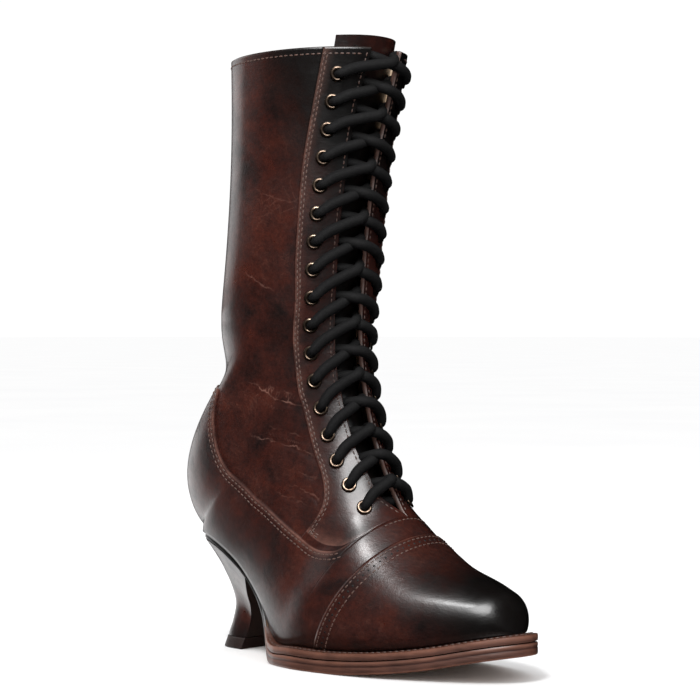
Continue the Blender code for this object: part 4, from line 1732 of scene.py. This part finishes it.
@dataclass
class Lacing:
    """The eyelets and the lace that runs through them."""

    form: BootForm
    count: int = 17
    first_u: float = 7.95
    last_u: float = 20.55
    line: Table = (
        (7.9, 18.0), (9.0, 20.5), (10.0, 22.5), (12.0, 25.0),
        (14.0, 27.0), (17.0, 28.8), (20.0, 26.0), (21.0, 25.0),
    )
    seat: float = 1.1
    ring: Table = (
        (3.75, 0.0), (3.95, 0.25), (3.85, 0.65), (3.45, 1.0), (2.95, 1.08), (2.45, 0.92), (2.12, 0.55),
        (2.0, 0.0), (1.97, -2.6), (2.2, -3.05), (2.7, -3.25), (3.2, -3.15), (3.3, -2.95), (2.4, -2.9),
        (2.25, -0.1),
    )
    ring_steps: int = 24
    line_steps: int = 150
    lace_radius: float = 2.7
    lace_sides: int = 14
    lace_steps: int = 6
    bar_shares: Triple = (0.0, 0.3, 0.7)
    bar_height: float = -4.1
    eyelet_stops: Table = ((-4.1, 0.8), (-1.0, 0.68), (1.5, 0.70))
    rises: Pair = (0.2, 4.6)
    sway: float = 0.5
    sway_pace: float = 2.3
    slack: float = 2.4
    slack_rows: float = 5.0
    inner_lie: float = -0.8
    last_way_u: float = 0.45

    def reach(self, u: float, side: int) -> float:
        """Signed distance of a side's eyelets from the front centre line."""
        return side * float(self.form.flap_way(u, Side(side), profile(self.line, u)))

    def brink(self, u: float, side: int) -> float:
        """Signed distance of a side's throat edge from the front centre line."""
        return side * float(self.form.flap_way(u, Side(side), self.form.section(np.array(u)).half_gap))

    def stations(self) -> Array:
        """Sections of the eyelets, evenly spaced along their line.

        Returns:
            Their places along the form.
        """
        fine = np.linspace(self.first_u, self.last_u, self.line_steps)
        angle = self.form.front_angle(fine, Side.LATERAL, profile(self.line, fine))
        lengths = arc_lengths(self.form.points(fine, angle, Side.LATERAL))
        return np.interp(np.linspace(0.0, lengths[-1], self.count), lengths, fine)

    def spot(self, u: float, distance: float, height: float) -> Array:
        """Point over the form.

        Args:
            u: Its place along the form.
            distance: Its way from the front centre line; minus is lateral.
            height: Its height over the form.

        Returns:
            The point.
        """
        side = Side.LATERAL if distance < 0 else Side.MEDIAL
        place = np.array([u])
        angle = self.form.front_angle(place, side, abs(distance))
        return self.form.skin(place, angle, side, height)[0]

    def turned_ring(self) -> bpy.types.Mesh:
        """One eyelet about Z: its half section is drawn, then spun.

        Returns:
            The mesh.
        """
        bpy.ops.object.select_all(action="DESELECT")
        bpy.ops.mesh.primitive_circle_add(vertices=len(self.ring), radius=MM)
        item = bpy.context.active_object
        for vertex, (radius, height) in zip(item.data.vertices, self.ring):
            vertex.co = (radius * MM, 0.0, height * MM)
        bpy.ops.object.mode_set(mode="EDIT")
        bpy.ops.mesh.select_all(action="SELECT")
        bpy.ops.mesh.spin(steps=self.ring_steps, angle=2 * math.pi, center=(0, 0, 0), axis=(0, 0, 1))
        bpy.ops.mesh.select_all(action="SELECT")
        bpy.ops.mesh.remove_doubles(threshold=0.005 * MM)
        bpy.ops.mesh.normals_make_consistent(inside=False)
        bpy.ops.object.mode_set(mode="OBJECT")
        finish_smooth(item, crease_deg=60.0)
        mesh = item.data
        bpy.data.objects.remove(item)
        return mesh

    def build_eyelets(self, bronze: Material) -> None:
        """Set a ring on each CAD eyelet.

        Args:
            bronze: Their finish.
        """
        ring = self.turned_ring()
        for side in Side:
            for number, u in enumerate(self.stations(), 1):
                distance = self.reach(u, side.value)
                angle = self.form.front_angle(np.array([u]), side, abs(distance))
                normal = Vector(self.form.normals(np.array([u]), angle, side)[0])
                turn = normal.to_track_quat("Z", "Y").to_matrix().to_4x4()
                node = f"eyelet_{side.name.lower()}_{number}"
                mesh = ring.copy()
                mesh.transform(Matrix.Translation(Vector(self.spot(u, distance, self.seat)) * MM) @ turn)
                mesh.materials.clear()
                mesh.materials.append(bronze)
                piece = bpy.data.objects.new("ring_" + node, mesh)
                bpy.context.scene.collection.objects.link(piece)
                placed(piece, "bronze", node)

    def run(self, first: Side) -> Arrays:
        """Way of one half of the lace, up through the eyelets and across from side to side.

        Args:
            first: Side of its first eyelet.

        Returns:
            Points, and the lace's radius at each.
        """
        stations = self.stations()
        stops: list[tuple[float, float, float, float]] = []
        top = first is Side.LATERAL
        if top:
            u = float(stations[0])
            inner, outer = self.reach(u, 1), self.reach(u, -1)
            stops += [(u, inner + share * (outer - inner), self.bar_height, 1.0) for share in self.bar_shares]
        for k, u in enumerate(stations):
            side = first.value if k % 2 == 0 else -first.value
            eyelet = self.reach(u, side)
            stops += [(u, eyelet, height, share) for height, share in self.eyelet_stops]
            ahead = float(stations[k + 1]) if k + 1 < len(stations) else u + self.last_way_u
            near, far, goal = self.brink(u, side), self.brink(ahead, -side), self.reach(ahead, -side)
            middle = (near + far) / 2
            sway = self.sway * math.sin(self.sway_pace * k + first.value)
            rise = self.rises[top] + sway
            slack = self.slack * (1.0 - min(k / self.slack_rows, 1.0))
            lie = self.inner_lie if side > 0 else 0.0
            span = ahead - u
            # Up out of the eyelet, over the flap's edge, across the other half, and down under the far flap.
            stops += [
                (u + 0.06 * span, eyelet - 2.0 * side, 3.2 + lie, 0.95),
                (u + 0.24 * span, near + 0.45 * (eyelet - near), 3.6 + lie + 0.6 * slack + 0.3 * sway, 1.05),
                (u + 0.40 * span, near + 0.3 * (middle - near), 2.7 + 0.35 * rise + slack, 1.05),
                (u + 0.53 * span, middle, rise + slack, 1.02),
                (u + 0.66 * span, far + 0.4 * (middle - far), -1.4 + 0.3 * rise + 0.4 * slack, 0.95),
                (u + 0.78 * span, far - 1.6 * side, -4.1, 0.8),
                (u + 0.90 * span, (far + goal) / 2, -4.2, 0.8),
            ]
        points = np.array([self.spot(u, d, h) for u, d, h, _ in stops])
        sizes = np.array([[share * self.lace_radius] for *_, share in stops])
        rows = np.concatenate((points, sizes), axis=1)
        fine = np.linspace(0.0, len(rows) - 1.0, self.lace_steps * (len(rows) - 1) + 1)
        curve = spline_rows(rows, spline_slopes(rows, 0), fine)
        return curve[:, :3], curve[:, 3]

    def build_lace(self, cotton: Material) -> None:
        """Draw both halves of the lace as round braid, with a map along it.

        Args:
            cotton: Its finish.
        """
        maker = MeshMaker()
        turns = np.linspace(0.0, 2 * math.pi, self.lace_sides, endpoint=False)
        for first in Side:
            path, radius = self.run(first)
            way = unit(np.gradient(path, axis=0))
            across = np.cross(way[0], (0.0, 0.0, 1.0))
            rings = []
            for k in range(len(path)):
                across = unit(across - way[k] * np.dot(across, way[k]))
                up = np.cross(way[k], across)
                circle = np.cos(turns)[:, None] * across + np.sin(turns)[:, None] * up
                rings.append(path[k] + radius[k] * circle)
            lengths = np.repeat(arc_lengths(path)[:, None], len(turns), axis=1)
            around = np.repeat((turns / (2 * math.pi))[None, :], len(path), axis=0)
            numbers = maker.add(np.array(rings), way_along=lengths, way_round=around)
            maker.quads(np.concatenate((numbers, numbers[:, :1]), axis=1))
            maker.fan(numbers[0])
            maker.fan(numbers[-1])
        piece = maker.make("braided_lace", (cotton,), crease_deg=70.0)
        self.map_lace(piece.data)
        placed(piece, "black_cotton", "lace")

    def map_lace(self, mesh: bpy.types.Mesh) -> None:
        """Write the way along and round the lace as its map, in centimetres and turns.

        Args:
            mesh: The lace's mesh.
        """
        along = np.empty(len(mesh.vertices), dtype=np.float32)
        around = np.empty(len(mesh.vertices), dtype=np.float32)
        mesh.attributes["way_along"].data.foreach_get("value", along)
        mesh.attributes["way_round"].data.foreach_get("value", around)
        corners = np.empty(len(mesh.loops), dtype=np.int32)
        mesh.loops.foreach_get("vertex_index", corners)
        u, v = along[corners] / 10.0, around[corners].copy()
        # A face that closes the ring runs on past the full turn.
        for face in mesh.polygons:
            span = slice(face.loop_start, face.loop_start + face.loop_total)
            if v[span].max() - v[span].min() > 0.5:
                v[span] = np.where(v[span] < 0.5, v[span] + 1.0, v[span])
        layer = mesh.uv_layers.new(name="lace_map")
        layer.data.foreach_set("uv", np.stack((u, v), axis=-1).reshape(-1).astype(np.float32))


@dataclass
class Sole:
    """Welt, outsole and sock."""

    form: BootForm
    flange: Table = (
        (0.0, 7.5), (4.0, 8.0), (6.5, 8.0), (7.5, 6.8), (8.0, 5.2), (8.5, 3.0), (9.0, 1.0), (9.5, 0.0),
        (10.0, -0.4),
    )
    welt_depth: Table = ((8.0, 3.6), (8.5, 1.5))
    drop: Table = ((8.0, 4.2), (8.5, 2.1), (9.3, 0.3))
    depth: Table = (
        (4.0, 6.4), (5.0, 6.9), (7.6, 6.9), (8.0, 6.4), (8.6, 5.0), (9.3, 4.2), (11.0, 3.2), (13.0, 2.8),
    )
    # Inset, share of the thickness and pale mark of each line along the edges, from the top down or all
    # round; pale from use on the corners and painted as highlights along the lines.
    outsole_edge: tuple[Triple, ...] = (
        (1.4, 0.0, 0.0), (0.35, 0.03, 0.6), (0.05, 0.12, 1.0), (0.0, 0.30, 0.25), (0.25, 0.38, 0.0),
        (0.25, 0.42, 0.0), (0.0, 0.50, 0.45), (0.0, 0.80, 0.15), (0.1, 0.92, 0.9), (0.5, 0.985, 0.5),
        (1.6, 1.0, 0.0),
    )
    welt_edge: tuple[tuple[float | None, float, float], ...] = (
        (0.0, 0.72, 0.25), (0.0, 0.28, 1.0), (0.2, 0.06, 0.9), (0.7, 0.0, 0.3), (None, 0.0, 0.0),
        (None, 1.0, 0.0), (0.7, 1.0, 0.0), (0.15, 0.94, 0.3),
    )
    full_thickness: float = 5.0
    waist_darkening_u: Pair = (8.2, 8.9)
    toe_u: float = 6.0
    toe_count: int = 60
    toe_crowding: float = 1.5
    outsole_count: int = 90
    welt_count: int = 40
    welt_rear_u: float = 8.5
    welt_inside: float = 4.0
    welt_seam_share: float = 0.62
    welt_seam_ends: int = 6
    welt_stitch: Triple = (1.25, 0.5, 0.4)
    welt_pitch: float = 3.2
    gap: float = 0.3

    def stations(self, last: float, count: int) -> Array:
        """Places along the sole, crowded at the toe.

        Args:
            last: The last place.
            count: Places behind the toe.

        Returns:
            The places.
        """
        toe = self.toe_u * np.linspace(0.0, 1.0, self.toe_count) ** self.toe_crowding
        return np.concatenate((toe, np.linspace(self.toe_u, last, count)[1:]))

    def edges(self, u: Array, z: Array) -> Arrays:
        """Heights of the outsole's top and bottom.

        Args:
            u: Places along the sole.
            z: Height of the sole's edge line there.

        Returns:
            Tops and bottoms.
        """
        top = z - profile(self.drop, u)
        return top, np.maximum(top - profile(self.depth, u), 0.0)

    def build_outsole(self, leather: Material, grain: Material) -> None:
        """Build the outsole with its rounded, grooved edge.

        Args:
            leather: Finish of its edge.
            grain: Finish of its underside.
        """
        u = self.stations(self.form.back_u, self.outsole_count)
        reach = profile(self.flange, u)
        # The edge turns black from the waist back to the heel seat.
        burnish = smooth(*self.waist_darkening_u, u)
        maker = MeshMaker()
        numbers = []
        for side in Side:
            top, bottom = self.edges(u, self.form.edge(u, side, reach)[:, 2])
            thick = top - bottom
            rows = []
            for inset, share, wear in self.outsole_edge:
                ring = self.form.edge(u, side, reach - inset * np.minimum(1.0, thick / self.full_thickness))
                ring[:, 2] = top - share * thick
                rows.append(maker.add(ring, wear=wear, burnish=burnish))
            numbers.append(np.stack(rows))
        maker.quads(numbers[0])
        maker.quads(numbers[1])
        maker.quads(np.stack((numbers[0][0], numbers[1][0])), 1)
        maker.quads(np.stack((numbers[0][-1], numbers[1][-1])), 1)
        placed(maker.make("leather_outsole", (leather, grain), crease_deg=40.0), "sole_leather", "outsole")

    def build_welt(self, leather: Material, thread: Material, stitching: Stitching) -> None:
        """Build the welt and sew it to the sole.

        Args:
            leather: Its finish.
            thread: Finish of its stitches.
            stitching: Lays the stitches.
        """
        fine = self.stations(self.welt_rear_u, self.welt_count)
        path = [(fine[::-1], Side.LATERAL), (fine[1:], Side.MEDIAL)]
        rings = []
        for inset, share, wear in self.welt_edge:
            lines = []
            for u, side in path:
                outer = profile(self.flange, u)
                reach = np.full(len(u), -self.welt_inside) if inset is None else outer - inset
                line = self.form.edge(u, side, reach)
                line[:, 2] -= self.gap + share * profile(self.welt_depth, u)
                lines.append(line)
            rings.append((np.concatenate(lines), wear))
        maker = MeshMaker()
        numbers = np.stack([maker.add(line, wear=wear, burnish=0.0) for line, wear in rings])
        maker.quads(np.concatenate((numbers, numbers[:1])))
        maker.fan(numbers[:, 0])
        maker.fan(numbers[:, -1])
        piece = maker.make("leather_welt", (leather,), crease_deg=45.0)
        placed(piece, "welt_leather", "welt")
        surface = BVHTree.FromObject(piece, bpy.context.evaluated_depsgraph_get())
        lines = [self.form.edge(u, side, self.welt_seam_share * profile(self.flange, u)) for u, side in path]
        line = np.concatenate(lines)[self.welt_seam_ends:-self.welt_seam_ends]
        row = SewnRow(line, np.tile((0.0, 0.0, 1.0), (len(line), 1)), 0.0, self.welt_pitch)
        stitches = stitching.sew((row,), surface, stitching.template("welt_stitch", self.welt_stitch))
        placed(stitches.make("welt_stitches", (thread,)), "welt_leather")

    def dress_sock(self, frame: dict, leather: Material) -> None:
        """Give the CAD insole its leather.

        Args:
            frame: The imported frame.
            leather: Its finish.
        """
        for slot in frame["nodes"]["insole"].material_slots:
            slot.material = leather
        LOG.info("insole: dressed")


@dataclass
class Heel:
    """The waisted heel and the lift under it."""

    form: BootForm
    sole: Sole
    breast_u: float = 10.0
    inset: float = 0.8
    # The breast is 2 mm hollow at 0.3 and 0.7 of its width, where its curve has 0.84 of its depth.
    hollow: float = 2.0 / 0.84
    seat_steps: int = 40
    seat_crowding: float = 0.8
    breast_steps: int = 16
    loft_steps: int = 61
    foot_burnish: Triple = (0.75, 0.30, 0.0)
    seat_burnish: Triple = (0.45, 0.75, 1.0)
    base_z: float = 6.3
    # Share of the height, back, breast and half width of each ring.
    rings: Rings = (
        (0.0, -13.4, 7.0, 9.8),
        (0.16, -10.4, 8.7, 8.9),
        (0.34, -7.8, 10.6, 9.2),
        (0.52, -10.0, 12.8, 12.0),
        (0.72, -14.8, 15.5, 17.0),
        (0.90, -21.5, 20.0, 22.5),
    )
    lift_height: float = 6.0
    lift_rings: Rings = (
        (0.0, -15.2, 4.7, 10.7),
        (0.04, -15.55, 5.05, 11.05),
        (0.14, -15.7, 5.2, 11.2),
        (0.86, -14.1, 6.75, 10.35),
        (0.96, -13.9, 6.85, 10.2),
        (1.0, -14.3, 6.4, 9.8),
    )

    def seat(self) -> tuple[Array, int]:
        """The heel's top outline under the seat.

        Returns:
            Its points, and how many of the last of them are the breast.
        """
        shares = np.linspace(0.0, 1.0, self.seat_steps) ** self.seat_crowding
        u = self.breast_u + (self.form.back_u - self.breast_u) * shares
        sides = []
        for side in Side:
            line = self.form.edge(u, side, -self.inset)
            line[:, 2] = self.sole.edges(u, line[:, 2])[1] - 2 * self.sole.gap
            sides.append(line)
        lateral, medial = sides
        shares = np.linspace(1.0, 0.0, self.breast_steps)[1:-1, None]
        breast = shares * medial[0] + (1 - shares) * lateral[0]
        breast[:, 0] -= self.hollow * 4 * shares[:, 0] * (1 - shares[:, 0])
        return np.concatenate((lateral, medial[-2::-1], breast)), len(breast)

    def ring(self, row: Array, top: Array, base: float) -> Array:
        """The seat's outline drawn to a ring's own length and width.

        Args:
            row: The ring's share of the height, back, breast and half width.
            top: The seat's outline.
            base: Height of the lowest ring.

        Returns:
            Its points.
        """
        share, back, breast, width = row
        front = top[0, 0]
        x = breast - (front - top[:, 0]) / (front - top[:, 0].min()) * (breast - back)
        y = top[:, 1] / np.abs(top[:, 1]).max() * width
        z = base + share * (top[:, 2] - base)
        return np.stack((x, y, z), axis=-1)

    def build_heel(self, leather: Material, black: Material) -> None:
        """Build the heel as a smooth loft.

        Args:
            leather: Finish of its sides.
            black: Finish of its breast, top and bottom; on the breast its dark is painted shade.
        """
        top, breast = self.seat()
        seat = (1.0, top[:, 0].min(), top[0, 0], np.abs(top[:, 1]).max())
        rows = np.array(self.rings + (seat,))
        fine = np.linspace(0.0, len(rows) - 1.0, self.loft_steps)
        maker = MeshMaker()
        numbers = []
        for row in spline_rows(rows, spline_slopes(rows, 1), fine):
            ring = self.ring(row, top, self.base_z)
            bands = (self.foot_burnish, self.seat_burnish)
            dark = sum(depth * float(smooth(pale, full, row[0])) for depth, pale, full in bands)
            numbers.append(maker.add(ring, burnish=dark, wear=0.0))
        grid = np.stack(numbers)
        grid = np.concatenate((grid, grid[:, :1]), axis=1)
        maker.quads(grid[:, : -breast - 1], 0)
        # The breast takes the dark finish as painted shade.
        maker.quads(grid[:, -breast - 2:], 1)
        maker.fan(grid[0, :-1], 1)
        maker.fan(grid[-1, :-1], 1)
        placed(maker.make("waisted_heel", (leather, black), crease_deg=42.0), "heel_leather", "heel")

    def build_lift(self, rubber: Material) -> None:
        """Build the wearing piece with eased edges.

        Args:
            rubber: Its finish.
        """
        top = self.seat()[0]
        top[:, 2] = self.lift_height
        maker = MeshMaker()
        grid = np.stack([maker.add(self.ring(np.array(row), top, 0.0)) for row in self.lift_rings])
        maker.quads(np.concatenate((grid, grid[:, :1]), axis=1))
        maker.fan(grid[0])
        maker.fan(grid[-1])
        placed(maker.make("heel_lift", (rubber,), crease_deg=45.0), "lift_rubber", "heel_top_lift")


class BoxOutline(Enum):
    """Outlines of a soft box."""

    SQUARE = "RECTANGLE"
    ROUND = "ELLIPSE"


@dataclass(frozen=True)
class SoftBox:
    """A soft light, aimed at the boot."""

    name: str
    place: Triple
    size: Pair
    power: float
    aim: Triple = (0.06, 0.0, 0.14)
    outline: BoxOutline = BoxOutline.SQUARE
    mirrored_only: bool = False

    def build(self) -> None:
        """Hang the light."""
        lamp = bpy.data.lights.new(self.name, "AREA")
        lamp.shape = self.outline.value
        lamp.size, lamp.size_y = self.size
        lamp.energy = self.power
        item = bpy.data.objects.new(self.name, lamp)
        item.location = self.place
        item.visible_diffuse = not self.mirrored_only
        item.rotation_euler = (Vector(self.aim) - Vector(self.place)).to_track_quat("-Z", "Y").to_euler()
        bpy.context.scene.collection.objects.link(item)


@dataclass
class Studio:
    """Floor, lights and camera."""

    camera_place: Triple = (0.8885, -0.8485, 0.1685)
    camera_aim: Triple = (0.0740, 0.0, 0.1580)
    lens: float = 119.0
    sensor: float = 36.0
    room_light: float = 1.04
    floor_size: float = 80.0
    boxes: tuple[SoftBox, ...] = (
        SoftBox("left_box", (-1.20, 0.06, 0.66), (0.82, 0.9), 2.8),
        SoftBox("heel_box", (-1.15, 0.10, -0.34), (0.85, 1.1), 4.4),
        SoftBox("collar_box", (-0.95, -0.74, 0.66), (0.5, 0.6), 0.5),
        SoftBox("top_box", (0.30, -0.56, 1.10), (0.22, 0.22), 6.4),
        SoftBox(
            "toe_box", (0.78, -0.46, 0.86), (0.85, 0.75), 23.0, (0.15, 0.0, 0.04), BoxOutline.ROUND,
            mirrored_only=True,
        ),
    )

    def build(self, paper: Material) -> None:
        """Set the stage.

        Args:
            paper: The floor's finish.
        """
        bpy.ops.object.select_all(action="DESELECT")
        bpy.ops.mesh.primitive_plane_add(size=self.floor_size)
        floor = bpy.context.active_object
        floor.name = "studio_floor"
        floor.data.materials.append(paper)
        floor.visible_glossy = False
        floor.visible_shadow = False
        world = bpy.context.scene.world or bpy.data.worlds.new("studio")
        bpy.context.scene.world = world
        world.use_nodes = True
        self.light_room(world)
        for box in self.boxes:
            box.build()
        self.build_camera()

    def light_room(self, world: bpy.types.World) -> None:
        """Fill the room with white light that the polish doesn't mirror.

        Args:
            world: The room.
        """
        sky = world.node_tree.nodes["Background"]
        sky.inputs["Color"].default_value = (*WHITE, 1.0)
        sky.inputs["Strength"].default_value = self.room_light
        world.cycles_visibility.glossy = False

    def build_camera(self) -> None:
        """Stand the camera where the photograph was taken from."""
        camera = bpy.data.objects.new("camera", bpy.data.cameras.new("camera"))
        camera.data.lens = self.lens
        camera.data.sensor_width = self.sensor
        camera.location = self.camera_place
        bpy.context.scene.view_settings.view_transform = "Standard"
        way = Vector(self.camera_aim) - Vector(self.camera_place)
        camera.rotation_euler = way.to_track_quat("-Z", "Y").to_euler()
        bpy.context.scene.collection.objects.link(camera)
        bpy.context.scene.camera = camera


def main() -> None:
    """Build the boot's pieces in order."""
    logging.basicConfig(level=logging.INFO, format="%(name)s: %(message)s")
    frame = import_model()
    form = BootForm()
    calf = BurnishedLeather("burnished_calf").make()
    lining = PlainLeather("cream_lining", (0.42, 0.29, 0.18), (0.66, 0.52, 0.37)).make()
    # Dark finish of cut edges, also laid as painted shade on the lining inside the flaps and on the heel's
    # breast.
    raw_edge_and_shade = PlainLeather("dark_cut_edge_and_shade", (0.012, 0.007, 0.006), (0.035, 0.016, 0.011), 0.5).make()
    thread = Thread("brown_thread").make()
    shade = PlainLeather("hole_shade", (0.002, 0.001, 0.001), (0.006, 0.004, 0.003), 0.8).make()
    rim = PlainLeather("pale_rim", (0.070, 0.030, 0.022), (0.200, 0.110, 0.085), 0.55).make()
    walls = (calf, lining, raw_edge_and_shade, rim)

    upper = Upper(form)
    upper.build(walls)
    upper.dress()
    stitching = Stitching(upper)
    stitching.build(thread, shade)
    Tongue(form).build(walls)
    lacing = Lacing(form)
    lacing.build_eyelets(AgedBronze("aged_bronze").make())
    lacing.build_lace(BraidedCotton("waxed_cotton").make())
    sole = Sole(form)
    sole.build_outsole(
        SoleLeather("sole_edge").make(),
        PlainLeather("sole_grain", (0.16, 0.085, 0.048), (0.30, 0.17, 0.10), 0.5).make(),
    )
    sole.build_welt(SoleLeather("welt_edge").make(), Thread("welt_thread").make(), stitching)
    sole.dress_sock(frame, PlainLeather("sock_leather", (0.36, 0.23, 0.13), (0.52, 0.37, 0.23)).make())
    heel = Heel(form, sole)
    heel.build_heel(BurnishedLeather("heel_cover").make(), raw_edge_and_shade)
    heel.build_lift(PlainLeather("lift_rubber", (0.012, 0.005, 0.004), (0.036, 0.013, 0.009), 0.5).make())
    Studio().build(MatteFloor("studio_paper").make())


if __name__ == "__main__":
    main()
